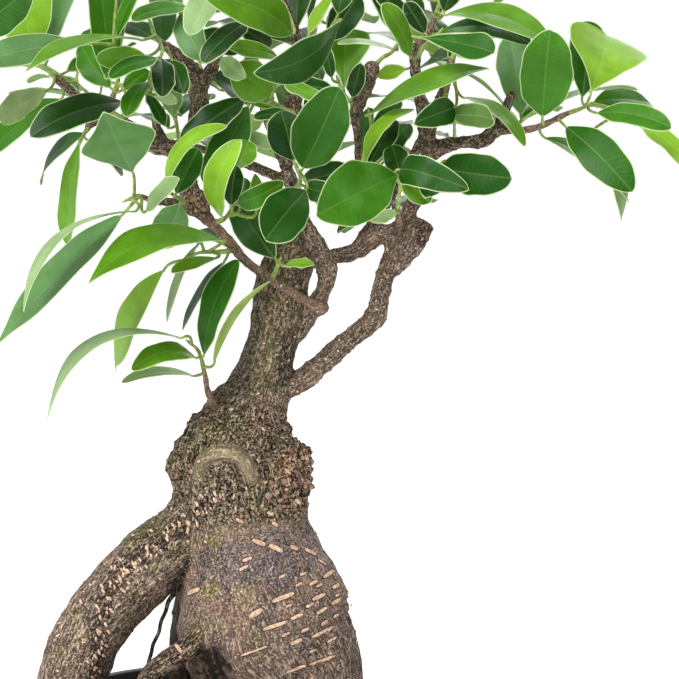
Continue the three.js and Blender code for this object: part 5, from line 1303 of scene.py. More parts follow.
# Leafy stems. A twig point is [across, down, depth, radius]. A leaf row is [base across, base down,
# tip across, tip down, seen width, base depth, tip depth, side shown, arch, tone]: 1 shows the upper
# side, -1 the underside, 2 and -2 lean the other way, and the tone counts in bladeTones. A last number,
# if any, is the peak, where the blade is widest.
stems = {
    "LeftTip": {
      "twig": [[58, 79, 8, 1.5], [50, 72, 8, 1.2], [36, 64, 6, 1], [14, 54, 4, 0.9], [-12, 42, 2, 0.8],
        [-36, 30, 0, 0.5]],
      "leaves": [[-26, 34, 32, -12, 45, 0, -14, 1, 0.06, 2], [30, 56, 20, -34, 56, 10, 16, 1, 0.05, 5],
        [49, 90, 2, 117, 27, 4, -10, -1, 0.08, 6], [57, 100, -25, 160, 26, 2, -14, 1, 0.08, 3],
        [51, 50, 88, -50, 28, 14, 26, 1, 0.05, 7], [66, 72, 98, 56, 16, 14, 22, 1, 0.05, 3],
        [-38, 28, -74, -12, 30, -4, -14, 1, 0.08, 1], [-38, 38, -84, 62, 24, 4, 14, 1, 0.1, 2],
        [-16, 50, -54, 92, 34, 2, -12, 1, 0.1, 0]]},
    "LeftUpright": {
      "twig": [[108, 119, 4, 1.6], [113, 96, 0, 1.4], [118, 80, -3, 1.2], [114, 44, -6, 0.9],
        [116, 8, -8, 0.7], [120, -24, -8, 0.5]],
      "leaves": [[82, 44, -34, 70, 30, -12, -30, 1, 0.05, 7],
        [123, 102, 31, 135, 32, -20, -48, 1, 0.09, 0], [104, 76, 94, -22, 30, -6, 0, 1, 0.05, 3],
        [110, 88, 80, 48, 30, -4, 8, 1, 0.06, 3], [118, 38, 148, -25, 16, -2, 10, 1, 0.05, 3],
        [122, 90, 149, 70, 18, -2, 4, 1, 0.06, 3], [116, 70, 124, -16, 24, 6, 22, 1, 0.05, 1],
        [116, -22, 90, -70, 30, -12, -20, 1, 0.08, 1], [124, -24, 148, -76, 26, -6, 8, 1, 0.08, 2]]},
    "LeftLow": {
      "twig": [[89, 127, 4, 1.3], [84, 134, 2, 1], [78, 146, 0, 0.6]],
      "leaves": [[84, 134, 36, 184, 14, 8, 22, 1, 0.1, 1], [80, 142, 70, 246, 22, -4, -14, 1, 0.06, 4],
        [86, 140, 122, 172, 20, 10, 34, 1, 0.1, 0]]},
    "LeftFork": {
      "twig": [[156, 124, -6, 1.4], [156, 112, -9, 1.1], [151, 94, -10, 0.9], [149, 80, -10, 0.5]],
      "leaves": [[149, 82, 129, 114, 20, -14, -26, 1, 0.08, 3],
        [146, 94, 164, 126, 12, -16, -24, 1, 0.06, 1], [150, 82, 157, 66, 9, -8, -2, 1, 0.05, 4],
        [152, 94, 176, 102, 12, -8, -16, -1, 0.05, 6]]},
    "LeftCluster": {
      "twig": [[170, 50, 4, 2], [161, 42, 3, 1.5], [154, 34, 2, 1], [150, 22, 2, 0.5]],
      "leaves": [[143, 40, 25, 71, 12, -24, -60, 1, 0.1, 4], [158, 58, 110, 76, 16, -30, -50, 1, 0.05, 2],
        [158, 46, 147, -40, 25, 6, 20, 1, 0.05, 2], [146, 56, 97, 59, 24, -14, -24, 1, 0.04, 4],
        [154, 40, 118, 24, 18, 10, 20, 1, 0.05, 1], [162, 58, 166, 94, 24, -4, -14, 1, 0.06, 0],
        [172, 60, 184, 94, 24, -10, -22, 1, 0.06, 1]]},
    "LeftTop": {
      "twig": [[184, 62, 2, 1.8], [188, 40, 4, 1.4], [194, 14, 6, 1], [200, -16, 8, 0.8],
        [204, -46, 8, 0.5]],
      "leaves": [[214, -14, 190, 34, 30, -12, -38, 1, 0.05, 6],
        [180, 14, 201, 60, 30, -6, -22, 1, 0.05, 7], [196, 12, 145, 31, 16, 0, -16, 1, 0.06, 3],
        [198, 32, 240, 50, 26, 12, 26, 1, 0.06, 0], [200, 8, 240, -8, 24, 14, 28, 1, 0.06, 1],
        [182, 4, 164, -30, 22, 12, 24, 1, 0.06, 4], [200, -40, 176, -84, 28, 6, 0, 1, 0.08, 1],
        [208, -46, 236, -88, 26, 8, 20, 1, 0.08, 2], [196, -10, 152, -40, 26, 8, 26, 1, 0.1, 0]]},
    "UpperLeft": {
      "twig": [[212, 69, -5, 1.8], [222, 52, -8, 1.3], [238, 32, -10, 1], [252, 14, -12, 0.8],
        [262, -14, -12, 0.5]],
      "leaves": [[248, 22, 203, 63, 24, -20, -40, 1, 0.08, 0], [224, 47, 278, 56, 17, -4, 8, 1, 0.06, 4],
        [221, 58, 244, 78, 20, -14, -26, 1, 0.06, 6], [208, 78, 242, 101, 20, -2, 4, 1, 0.06, 0],
        [240, 26, 270, 46, 24, 10, 22, 1, 0.06, 0], [258, -14, 226, -56, 30, -16, -30, 1, 0.1, 1],
        [266, -16, 300, -62, 28, -10, -18, 1, 0.1, 0]]},
    "Inner": {
      "twig": [[294, 118, 0, 1.6], [282, 108, -5, 1.3], [264, 102, -8, 1], [247, 101, -12, 0.6]],
      "leaves": [[272, 95, 236, 66, 42, -4, 8, 1, 0.05, 4, 0.5],
        [248, 106, 203, 186, 36, -18, -30, 1, 0.06, 2], [246, 98, 183, 141, 28, -8, -18, 1, 0.05, 0],
        [284, 84, 322, 102, 14, -24, -38, 1, 0.06, 4], [292, 114, 254, 119, 12, -12, -24, 1, 0.06, 1],
        [278, 112, 257, 102, 17, 2, 8, 1, 0.05, 4], [248, 134, 272, 146, 15, -6, -14, 1, 0.05, 6],
        [260, 106, 240, 126, 20, 6, 16, 1, 0.05, 1]]},
    "TopFront": {
      "twig": [[299, 52, 6, 1.8], [310, 42, -3, 1.3], [324, 36, -12, 1], [336, 20, -20, 0.6]],
      "leaves": [[338, 22, 255, 73, 34, -28, -62, 2, 0.14, 1, 0.6],
        [328, 42, 358, -5, 32, -6, 10, 1, 0.05, 0], [309, 34, 332, -4, 13, -10, -2, 1, 0.05, 5],
        [338, 14, 352, -40, 26, -22, -26, 1, 0.08, 1], [306, 50, 322, 80, 20, 12, 22, 1, 0.06, 0]]},
    "Top": {
      "twig": [[283, 3, 9, 1.9], [279, -14, 10, 1.4], [277, -36, 12, 1], [280, -62, 12, 0.5]],
      "leaves": [[292, 34, 206, -6, 42, -6, -26, 1, 0.16, 4], [290, 44, 252, 20, 26, 14, 26, 1, 0.06, 0],
        [296, 30, 304, -28, 24, 16, 24, 1, 0.05, 1], [284, 20, 260, -24, 26, 18, 30, 1, 0.05, 0],
        [274, -34, 240, -80, 28, 16, 26, 1, 0.08, 1], [280, -60, 292, -104, 24, 12, 6, 1, 0.08, 2],
        [282, -22, 324, -58, 28, 10, 26, 1, 0.08, 0], [276, -40, 238, -42, 26, 18, 44, 1, 0.1, 0]]},
    "Centre": {
      "twig": [[357, 106, 0, 1.4], [350, 101, -7, 1.1], [343, 92, -12, 0.9], [338, 80, -12, 0.5]],
      "leaves": [[348, 95, 357, 40, 50, -4, 20, 1, 0.05, 4, 0.76],
        [332, 78, 326, 46, 14, -8, -2, 1, 0.05, 1], [336, 90, 290, 82, 20, -18, -8, 1, 0.06, 1],
        [352, 97, 361, 63, 18, -9, -6, 1, 0.05, 0], [338, 99, 304, 104, 24, 0, 10, 1, 0.05, 0]]},
    "CentreTop": {
      "twig": [[372, 69, -21, 1.3], [382, 58, -17, 1], [392, 52, -12, 0.8], [400, 40, -8, 0.5]],
      "leaves": [[396, 50, 338, 43, 5, -8, -18, 1, 0.06, 6], [400, 38, 374, -10, 24, 2, 16, 1, 0.08, 1]]},
    "CentreLow": {
      "twig": [[359, 172, 6, 1.4], [364, 158, 1, 1.2], [370, 140, -4, 1], [371, 124, -6, 0.8],
        [369, 112, -6, 0.5]],
      "leaves": [[365, 164, 413, 108, 12, -28, -24, 1, 0.18, 5, 0.5],
        [370, 114, 488, 69, 19, -12, -28, 1, 0.08, 4], [369, 168, 396, 122, 25, -10, -12, 1, 0.06, 0],
        [384, 162, 409, 124, 22, 6, 18, 1, 0.06, 1], [374, 138, 400, 102, 17, -4, 12, 1, 0.06, 1],
        [361, 156, 370, 108, 18, 14, 22, 1, 0.05, 2], [352, 168, 303, 182, 28, -6, -20, 1, 0.05, 0]]},
    "Front": {
      "twig": [[402, 229, -9, 1.8], [398, 215, -20, 1.5], [399, 198, -28, 1.1], [401, 181, -33, 0.6]],
      "leaves": [[398, 175, 317, 215, 62, -36, -72, 1, 0.06, 3, 0.64],
        [400, 170, 469, 189, 32, -38, -58, 1, 0.34, 1, 0.42],
        [403, 178, 430, 203, 24, -34, -46, 1, 0.05, 4], [397, 213, 369, 219, 14, -24, -28, 1, 0.06, 6],
        [402, 176, 392, 146, 26, -20, -12, 1, 0.05, 1]]},
    "RightMid": {
      "twig": [[427, 168, -8, 1.5], [437, 166, -15, 1.2], [446, 164, -19, 0.9], [453, 158, -20, 0.5]],
      "leaves": [[438, 168, 511, 178, 43, -20, -38, 1, 0.05, 1],
        [440, 163, 424, 194, 28, -20, -28, 1, 0.05, 2]]},
    "RightFork": {
      "twig": [[450, 68, -13, 1.8], [453, 56, -14, 1.2], [457, 44, -15, 0.5]],
      "leaves": [[450, 103, 403, 110, 29, -20, -36, 1, 0.04, 1, 0.27],
        [462, 97, 525, 146, 13, -18, -28, 1, 0.14, 4], [447, 114, 494, 118, 25, -20, -36, -1, 0.05, 1],
        [449, 58, 428, 65, 12, -14, -8, 1, 0.05, 1]]},
    "RightCrown": {
      "twig": [[416, 58, -2, 1.7], [424, 46, -10, 1.2], [435, 38, -15, 0.8], [440, 32, -16, 0.5]],
      "leaves": [[414, 37, 493, 52, 27, -22, -46, 1, 0.03, 2, 0.78],
        [438, 34, 532, 42, 20, -12, -34, 1, 0.14, 2], [418, 63, 406, 23, 21, -12, -18, 1, 0.05, 4],
        [407, 69, 379, 75, 15, 8, 14, 1, 0.06, 5], [426, 34, 406, 2, 20, -16, -20, 1, 0.06, 0]]},
    "RightTop": {
      "twig": [[417, 48, -2, 1.8], [429, 32, -2, 1.6], [436, 14, -2, 1.3], [444, -12, -2, 0.9],
        [448, -38, -2, 0.5]],
      "leaves": [[445, 15, 551, 47, 25, -8, -24, 1, 0.13, 4], [430, 0, 336, -10, 16, 6, 22, 1, 0.12, 3],
        [414, 24, 376, -8, 20, 4, 2, 1, 0.06, 0], [424, 30, 402, -20, 16, 8, 20, 1, 0.05, 3],
        [434, 20, 428, -26, 14, 8, 24, 1, 0.05, 0], [444, 12, 458, -34, 24, -10, -16, 1, 0.05, 0],
        [410, 48, 366, 35, 7, 2, 12, 1, 0.1, 3], [446, -36, 418, -84, 28, -2, 6, 1, 0.08, 1],
        [450, -40, 486, -78, 26, -2, -12, 1, 0.08, 2], [448, -14, 500, -32, 26, 4, 14, 1, 0.08, 0]]},
    "FarRight": {
      "twig": [[510, 129, -12, 1.9], [524, 130, -14, 1.7], [538, 127, -15, 1.6], [552, 121, -15, 1.5],
        [566, 114, -14, 1.4], [580, 109, -14, 1.1], [592, 105, -13, 0.9], [612, 110, -11, 0.7],
        [636, 120, -8, 0.5]],
      "leaves": [[542, 116, 548, 30, 53, -20, -34, 1, 0.06, 3],
        [591, 93, 606, 36, 84, -30, 10, 1, 0.06, 5, 0.74], [522, 115, 512, 36, 38, -8, 2, 1, 0.06, 7],
        [545, 138, 630, 202, 16, -8, 8, 1, 0.1, 3], [566, 127, 632, 192, 40, -22, -46, 1, 0.1, 2],
        [582, 98, 588, 20, 40, 2, 24, 1, 0.05, 1, 0.6], [597, 113, 671, 127, 23, -22, -38, 1, 0.08, 3],
        [594, 103, 653, 106, 20, -8, 8, 1, 0.08, 3], [640, 126, 690, 168, 20, -10, -22, 1, 0.1, 5],
        [590, 140, 628, 222, 24, 6, 16, 1, 0.12, 4, 0.7]]},
    "LowLeft": {
      "twig": [[156, 201, -25, 1.6], [148, 199, -28, 1.5], [138, 196, -31, 1.3], [127, 200, -33, 0.6]],
      "leaves": [[133, 173, 104, 111, 79, -42, -94, 1, 0.06, 7, 0.78],
        [136, 211, 24, 312, 9, -44, -66, 1, 0.2, 6], [121, 216, -3, 346, 30, -32, -44, 1, 0.02, 7, 0.44],
        [146, 211, 178, 179, 15, -46, -62, 1, 0.06, 6]]},
    "ClumpLeft": {
      "twig": [[190, 206, -22, 1.5], [180, 199, -32, 1.2], [172, 194, -38, 0.8], [166, 188, -40, 0.5]],
      "leaves": [[165, 190, 224, 126, 15, -48, -62, 1, 0.2, 5, 0.5],
        [176, 194, 198, 148, 26, -38, -36, 1, 0.05, 2], [180, 204, 162, 246, 36, -26, -30, 1, 0.05, 7]]},
    "ClumpUp": {
      "twig": [[212, 223, -20, 1.5], [224, 219, -29, 1.2], [232, 208, -34, 1], [237, 190, -36, 0.8],
        [240, 176, -36, 0.5]],
      "leaves": [[222, 218, 239, 140, 26, -46, -60, 1, 0.2, 5],
        [238, 204, 284, 182, 22, -38, -44, 1, 0.5, 3, 0.55],
        [231, 206, 236, 165, 22, -42, -44, 1, 0.04, 0], [235, 170, 248, 141, 28, -42, -38, 1, 0.05, 4],
        [256, 212, 255, 174, 12, -28, -22, 1, 0.04, 4], [240, 208, 246, 178, 18, -24, -16, 1, 0.05, 1]]},
    "Droop": {
      "twig": [[237, 249, -19, 1.5], [220, 252, -25, 1.2], [203, 252, -29, 1], [190, 256, -31, 0.7],
        [180, 262, -32, 0.5]],
      "leaves": [[222, 241, 88, 284, 26, -40, -64, 1, 0.17, 4],
        [222, 246, 195, 235, 14, -18, -8, 1, 0.05, 0], [198, 244, 168, 322, 9, -24, -18, 1, 0.06, 6],
        [216, 258, 172, 273, 10, -36, -50, 1, 0.05, 5], [224, 262, 183, 330, 8, -18, -10, 1, 0.05, 0],
        [164, 270, 116, 371, 27, -22, 8, 1, 0.08, 5, 0.6]]},
    "Side": {
      "twig": [[224, 420, -8, 1.9], [209, 395, -14, 1.6], [205, 375, -18, 1.4], [199, 352, -20, 1.1],
        [190, 343, -21, 0.5]],
      "leaves": [[204, 355, 238, 260, 27, -26, -34, 1, 0.08, 2],
        [213, 366, 268, 284, 9, -26, -40, -1, 0.08, 5], [196, 358, 132, 368, 18, -26, -40, 1, 0.24, 4],
        [194, 376, 122, 382, 6, -20, -30, 1, 0.1, 6], [182, 338, 46, 420, 8, -38, -52, 1, 0.25, 6]]},
    "InnerFront": {
      "twig": [[272, 278, -17, 1.4], [277, 268, -25, 1.1], [280, 260, -30, 0.6]],
      "leaves": [[275, 260, 234, 205, 38, -27, -20, 1, 0.06, 1],
        [284, 266, 314, 266, 8, -30, -38, 1, 0.08, 5]]},
    "Hang": {
      "twig": [[293, 190, -8, 1.5], [299, 185, -20, 1.2], [300, 176, -28, 0.9], [297, 166, -32, 0.5]],
      "leaves": [[306, 190, 265, 240, 46, -40, -76, 1, 0.05, 1, 0.62],
        [303, 168, 340, 87, 52, -38, -58, 1, 0.05, 2, 0.5], [294, 160, 282, 110, 40, -24, -16, 1, 0.06, 0],
        [304, 186, 334, 196, 24, -22, -30, 1, 0.05, 1]]},
}

# Leafy stems on the far side: [across, down, depth, bearing, rise, length, leaves]
farStems = [
  [257, 66, 77, 100, 48, 32, 5], [264, 106, 70, 160, 18, 36, 5], [280, 152, 56, 62, 6, 36, 4],
  [438, 99, 67, 62, 42, 30, 5], [414, 154, 52, 108, 6, 34, 4], [127, 121, 56, 165, 28, 30, 5],
  [180, 145, 54, 98, 20, 34, 5], [234, 159, 51, 92, -4, 34, 4], [493, 137, 42, 28, 20, 30, 5],
  [455, 148, 45, 88, 12, 34, 4], [300, 62, 6, 78, 22, 44, 4], [376, 219, 25, 82, -6, 36, 4],
]
farRule = {
    "turn": 137.5, "firstTurn": 40, "turnSpread": 24, "rise": 6, "riseSpread": 26, "length": 41,
    "lengthSpread": 9, "stalk": 8, "arch": 0.1, "radius": 1.4, "tipRadius": 0.5, "lift": 5, "seed": 20,
    "firstLeaf": 0.4, "forward": 0.7, "droop": 0.12, "tones": 5, "toneSeed": 5,
}


# Half the width of a blade along its length, as a share of its greatest, which is at the peak
def bladeShape(along, peak):
    basePower = blade["tipPower"] * peak / (1 - peak)
    greatest = peak ** basePower * (1 - peak) ** blade["tipPower"]
    return along ** basePower * (1 - along) ** blade["tipPower"] / greatest


def bladePoints(leaf, along, side):
    half = 0.5 * leaf["width"] * bladeShape(along, leaf["peak"]) * side
    rise = leaf["arch"] * leaf["length"] * 4 * along * (1 - along) + blade["fold"] * np.abs(half)
    return (leaf["base"] + np.multiply.outer(along * leaf["length"], leaf["axis"])
            + np.multiply.outer(rise, leaf["normal"]) + np.multiply.outer(half, leaf["lateral"]))


def poseLeaf(leaf):
    run = leaf["tip"] - leaf["base"]
    leaf["length"] = np.linalg.norm(run)
    leaf["axis"] = run / leaf["length"]
    if leaf["seenWidth"]:
        leaf["width"] = max(blade["widthRatio"] * leaf["length"], leaf["seenWidth"])
        front = unit(toViewer - leaf["axis"] * (toViewer @ leaf["axis"]))
        over = np.cross(leaf["axis"], front)
        lean = (-1 if over[2] < 0 else 1) * (-1 if abs(leaf["side"]) > 1 else 1)
        tilt = math.acos(min(leaf["seenWidth"] / leaf["width"], 1))
        facing = front * math.copysign(1, leaf["side"])
        leaf["normal"] = facing * math.cos(tilt) + over * lean * math.sin(tilt)
    else:
        leaf["width"] = blade["widthRatio"] * leaf["length"]
        leaf["normal"] = unit(upwards - leaf["axis"] * (upwards @ leaf["axis"]))
    leaf["lateral"] = np.cross(leaf["axis"], leaf["normal"])


def twigPieces(centres):
    walked, pieces = 0.0, []
    for a, b in zip(centres[:-1], centres[1:]):
        length = np.linalg.norm(b - a)
        pieces.append((a, b, walked, length))
        walked += length
    return pieces


def twigPoint(pieces, distance):
    for a, b, start, length in pieces:
        if distance <= start + length:
            return a + (b - a) * ((distance - start) / length)
    a, b, start, length = pieces[-1]
    return a + (b - a) * ((distance - start) / length)


def stalkPlace(pieces, point, taken):
    nearest, least = 0.0, 1e9
    for a, b, start, length in pieces:
        share = min(max((point - a) @ (b - a) / length ** 2, 0.0), 1.0)
        apart = np.linalg.norm(a + share * (b - a) - point)
        if apart < least:
            nearest, least = start + share * length, apart
    most = pieces[-1][2] + pieces[-1][3] - joint["end"]
    distance = max(min(nearest, most), joint["start"])
    while distance > joint["start"] and (
            any(abs(other - distance) < joint["apart"] for other in taken)
            or any(abs(piece[2] - distance) < joint["fromBend"] for piece in pieces)):
        distance -= joint["step"]
    return distance


def drawnStem(name, rows):
    twig = np.array([[*place(p[0], p[1], p[2]), max(p[3], leastTwigRadius), p[3]] for p in rows["twig"]])
    leaves = [{"base": place(r[0], r[1], r[5]), "tip": place(r[2], r[3], r[6]),
               "seenWidth": r[4] * frontView["scale"], "side": r[7], "arch": r[8], "tone": r[9],
              "peak": r[10] if len(r) > 10 else blade["peak"]}
              for r in rows["leaves"]]
    return {"name": name, "twig": twig, "leaves": leaves}


def heading(azimuth, elevation):
    a, e = math.radians(azimuth), math.radians(elevation)
    return np.array((math.cos(e) * math.cos(a), math.cos(e) * math.sin(a), math.sin(e)))


def ruledStem(name, row, draw, drawTone):
    across, down, depth, bearing, rise, length, count = row
    start, forward = place(across, down, depth), heading(bearing, rise)

    def twigAt(share):
        return start + forward * share * length + upwards * farRule["lift"] * share * share

    twig = []
    for share in (0, 0.35, 0.7, 1):
        radius = (1 - share) * farRule["radius"] + share * farRule["tipRadius"]
        twig.append([*twigAt(share), max(radius, leastTwigRadius), radius])
    leaves = []
    for i in range(count):
        share = farRule["firstLeaf"] + (1 - farRule["firstLeaf"]) * i / (count - 1)
        azimuth = (bearing + farRule["firstTurn"] + i * farRule["turn"]
                   + farRule["turnSpread"] * (draw() - 0.5))
        elevation = farRule["rise"] + farRule["riseSpread"] * (draw() - 0.5)
        leafLength = farRule["length"] + farRule["lengthSpread"] * (draw() - 0.5)
        way = unit(heading(azimuth, elevation) + forward * farRule["forward"])
        base = twigAt(share) + way * farRule["stalk"]
        tip = base + way * leafLength - upwards * farRule["droop"] * leafLength
        leaves.append({"base": base, "tip": tip, "seenWidth": 0, "side": 1, "arch": farRule["arch"],
                       "tone": int(drawTone() * farRule["tones"]), "peak": blade["peak"]})
    return {"name": name, "twig": np.array(twig), "leaves": leaves}


def rodsOf(stations):
    return (stations[:-1, :3], stations[1:, :3], np.maximum(stations[:-1, 3], stations[1:, 3]))


def clearOfPoints(samples, others, distance):
    return bool((((samples[:, None] - others[None]) ** 2).sum(2) >= distance * distance).all())


def clearOfRods(samples, rods, distance):
    starts, ends, radii = rods
    run = ends - starts
    share = ((samples[:, None] - starts[None]) * run[None]).sum(2) / (run * run).sum(1)[None]
    nearest = starts[None] + np.clip(share, 0, 1)[..., None] * run[None]
    return bool((np.linalg.norm(nearest - samples[:, None], axis=2) >= radii[None] + distance).all())


def leafIsClear(leaf, stem, placed, stemRods, woodRods):
    skipped = sampling["skipped"] * sampling["across"]
    fromKin = leaf["blade"][skipped:]
    for other in placed:
        kin = other["stem"] == stem
        if np.linalg.norm(leaf["base"] - other["base"]) > leaf["length"] + other["length"] + room["blade"]:
            continue
        own = fromKin if kin else leaf["blade"]
        theirs = other["blade"][skipped:] if kin else other["blade"]
        if not clearOfPoints(own, theirs, room["kinBlade"] if kin else room["blade"]):
            return False
        if not (clearOfPoints(own, other["stalkSamples"], room["stalk"])
                and clearOfPoints(leaf["stalkSamples"], theirs, room["stalk"])):
            return False
    for name, rods in stemRods:
        if not clearOfRods(fromKin if name == stem else leaf["blade"], rods, room["twig"]):
            return False
        if name != stem and not clearOfRods(leaf["stalkSamples"], rods, room["twig"]):
            return False
    return (clearOfRods(leaf["blade"], woodRods, room["wood"])
            and clearOfRods(leaf["stalkSamples"][1:], woodRods, room["wood"]))


# Places every leaf in turn, shifted until it is clear of those before it, or left out
def placeLeaves(stemList):
    allRods = [rodsOf(limbStations(limb)) for limb in limbs.values()]
    woodRods = tuple(np.concatenate([rods[i] for rods in allRods]) for i in range(3))
    stemRods = [(stem["name"], rodsOf(stem["twig"])) for stem in stemList]
    along = np.repeat(np.arange(sampling["along"]) / (sampling["along"] - 1), sampling["across"])
    side = np.tile(2 * np.arange(sampling["across"]) / (sampling["across"] - 1) - 1, sampling["along"])
    placed = []
    for stem in stemList:
        pieces, taken = twigPieces(stem["twig"][:, :3]), []
        for wanted in stem["leaves"]:
            for shift in shifts:
                offset = np.array(shift, float)
                leaf = {**wanted, "stem": stem["name"], "tip": wanted["tip"] + offset,
                        "base": wanted["base"] + offset * baseFollows}
                poseLeaf(leaf)
                distance = stalkPlace(pieces, leaf["base"], taken)
                leaf["anchor"] = twigPoint(pieces, distance)
                leaf["blade"] = bladePoints(leaf, along, side)
                shares = np.arange(1, sampling["stalk"] + 1)[:, None] / sampling["stalk"]
                leaf["stalkSamples"] = leaf["anchor"] + shares * (leaf["base"] - leaf["anchor"])
                if leafIsClear(leaf, stem["name"], placed, stemRods, woodRods):
                    placed.append(leaf)
                    taken.append(distance)
                    break
    return placed


drawFar, drawTone = makeRandom(farRule["seed"]), makeRandom(farRule["toneSeed"])
stemList = [drawnStem("leafyStem" + name, rows) for name, rows in stems.items()]
stemList += [ruledStem("leafyStemFar%d" % (i + 1), row, drawFar, drawTone)
             for i, row in enumerate(farStems)]
placedLeaves = placeLeaves(stemList)
print("  leaves", len(placedLeaves))


print("stage: leaves")


def plainTube(centres, radii, sides):
    axes = axesOf(centres)
    side = np.cross(axes[0], upwards if abs(axes[0][2]) < 0.9 else toViewer)
    points = []
    angles = 2 * np.pi * np.arange(sides) / sides
    for centre, radius, axis in zip(centres, radii, axes):
        side = unit(side - axis * (side @ axis))
        back = np.cross(axis, side)
        points.append(centre + radius * (np.cos(angles)[:, None] * side + np.sin(angles)[:, None] * back))
    return np.concatenate(points), tubeFaces(len(centres), sides)


def bezier(p0, p1, p2, count):
    t = np.linspace(0, 1, count)[:, None]
    return (1 - t) ** 2 * p0 + 2 * t * (1 - t) * p1 + t * t * p2


# A blade: an upper and an under skin that meet at a thin rim, with the midrib proud below
def addBlade(parts, leaf, draw):
    across = np.array(blade["across"], float)
    count, width = blade["along"], len(across)
    along = 0.5 - 0.5 * np.cos(np.pi * np.linspace(0.0, 1.0, count))
    along = np.clip(0.35 * np.linspace(0.0, 1.0, count) + 0.65 * along, 0.0, 1.0)
    s, v = np.repeat(along, width), np.tile(across, count)
    phase, waves, tip = draw() * 6.28, 0.8 + 1.4 * draw(), draw() - 0.5
    curl, uneven, bend = draw(), draw() - 0.5, draw() - 0.5
    ruffle = 0.03 * np.sin(phase + 11 * s + 2 * v) + 0.02 * np.sin(2.3 * phase + 23 * s)
    shape = bladeShape(np.clip(s, 0.001, 0.999), leaf["peak"])
    wedge = bladeShape(blade["wedge"], leaf["peak"]) * s / blade["wedge"]
    shape = shape + 0.5 * smoothStep(blade["wedge"], 0.04, s) * (wedge - shape)
    taper = bladeShape(blade["taperFrom"], leaf["peak"]) * (1 - s) / (1 - blade["taperFrom"])
    pointed = 0.85 * smoothStep(46, 60, leaf["length"])
    shape = shape + pointed * smoothStep(blade["taperFrom"], 0.92, s) * (np.minimum(taper, shape) - shape)
    facing = min(leaf["seenWidth"] / leaf["width"], 1) if leaf["seenWidth"] else 1
    half = (0.5 * leaf["width"] * shape * v * (1 + ruffle * np.abs(v))
            * (1 + blade["uneven"] * uneven * np.sign(v)) * 0.97)
    greatest = 0.5 * leaf["width"]
    crease = blade["fold"] * (np.sqrt(half * half + 0.2) - 0.447) * (1 + 0.25 * curl) * (0.3 + 0.7 * facing)
    crease = crease - blade["curl"] * curl * facing * half * half / greatest
    rise = leaf["arch"] * leaf["length"] * 4 * s * (1 - s) + crease
    rise = rise + (blade["wave"] * facing ** 1.5 * np.sin(phase + waves * 2 * math.pi * s) * v * np.abs(v)
                   * smoothStep(0, 0.3, s))
    rise = rise + blade["tipTurn"] * tip * smoothStep(0.7, 1.0, s) - 0.5 * curl * smoothStep(0.8, 1.0, s)
    aside = half + blade["bend"] * bend * leaf["length"] * 4 * s * (1 - s)
    middle = (leaf["base"] + np.multiply.outer(s * leaf["length"], leaf["axis"])
              + np.multiply.outer(rise, leaf["normal"]) + np.multiply.outer(aside, leaf["lateral"]))
    thick = blade["thickness"] * (1 - 0.45 * np.abs(v) ** 3)
    rib = blade["ribHeight"] * np.exp(-(half / 0.55) ** 2) * (1 - 0.8 * s)
    upper = middle + np.multiply.outer(0.5 * thick - 0.35 * rib, leaf["normal"])
    under = middle - np.multiply.outer(0.5 * thick + rib, leaf["normal"])
    total = len(s)
    faces = sheetFaces(count, width) + [f[::-1] for f in sheetFaces(count, width, total)]
    border = sheetBorder(count, width)
    sharp = []
    for a, b in zip(border, border[1:] + border[:1]):
        faces.append((a, b, b + total, a + total))
        sharp += [(a, b), (a + total, b + total)]
    fromEdge = 0.5 * leaf["width"] * shape * (1 - np.abs(v))
    where = np.stack((s * leaf["length"], half, fromEdge), 1)
    points = np.concatenate((upper, under))
    turned = np.cross(leaf["axis"], leaf["lateral"]) @ leaf["normal"] < 0
    parts.add(points, faces if turned else [f[::-1] for f in faces], 0, sharp,
              bladePlace=np.vstack((where, where)),
              bladeTone=np.full(2 * total, leaf["tone"] / (len(bladeTones) - 1)),
              bladeUnder=np.repeat((0.0, 1.0), total), twigAge=np.zeros(2 * total))


def addStalk(parts, leaf):
    reach = np.linalg.norm(leaf["base"] - leaf["anchor"])
    bend = leaf["base"] - leaf["axis"] * min(0.5 * reach, 5.0)
    inner = bezier(leaf["anchor"], bend, leaf["base"], 9)
    onward = leaf["base"] + np.multiply.outer(np.array((0.8, 2.2)), leaf["axis"])
    onward = onward + np.multiply.outer(leaf["arch"] * 4 * np.array((0.8, 2.2)) - 0.3, leaf["normal"])
    centres = np.vstack((inner, onward))
    radii = np.concatenate((np.linspace(blade["neckRadius"], blade["stalkRadius"], 9), (0.5, 0.3)))
    tube, faces = plainTube(centres, radii, 8)
    parts.add(tube, faces, 1, twigAge=np.full(len(tube), 0.12))


def makeFoliage():
    draw = makeRandom(blade["seed"])
    for stem in stemList:
        parts = MeshParts()
        stations = smoothStations(stem["twig"], 2.2)
        age = smoothStep(twigBark["from"], twigBark["full"], stations[:, 4])
        share = np.linspace(0, 1, len(stations))
        radii = stations[:, 3] * (1.0 - 0.25 * share) * (1 + 0.1 * np.sin(np.arange(len(stations)) * 1.9))
        bud = unit(stations[-1, :3] - stations[-2, :3])
        centres = np.vstack((stations[:, :3], stations[-1, :3] + bud * 1.2, stations[-1, :3] + bud * 2.6))
        radii = np.concatenate((radii, (0.55, 0.15)))
        tube, faces = plainTube(centres, radii, 12)
        parts.add(tube, faces, 1, twigAge=np.repeat(np.concatenate((age, (0.1, 0.0))), 12))
        for leaf in placedLeaves:
            if leaf["stem"] == stem["name"]:
                addStalk(parts, leaf)
                addBlade(parts, leaf, draw)
        piece = parts.build(stem["name"].replace("leafyStem", "foliage"), [bladeMaterial, twigMaterial])
        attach(piece, "root")
        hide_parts(stem["name"])


makeFoliage()


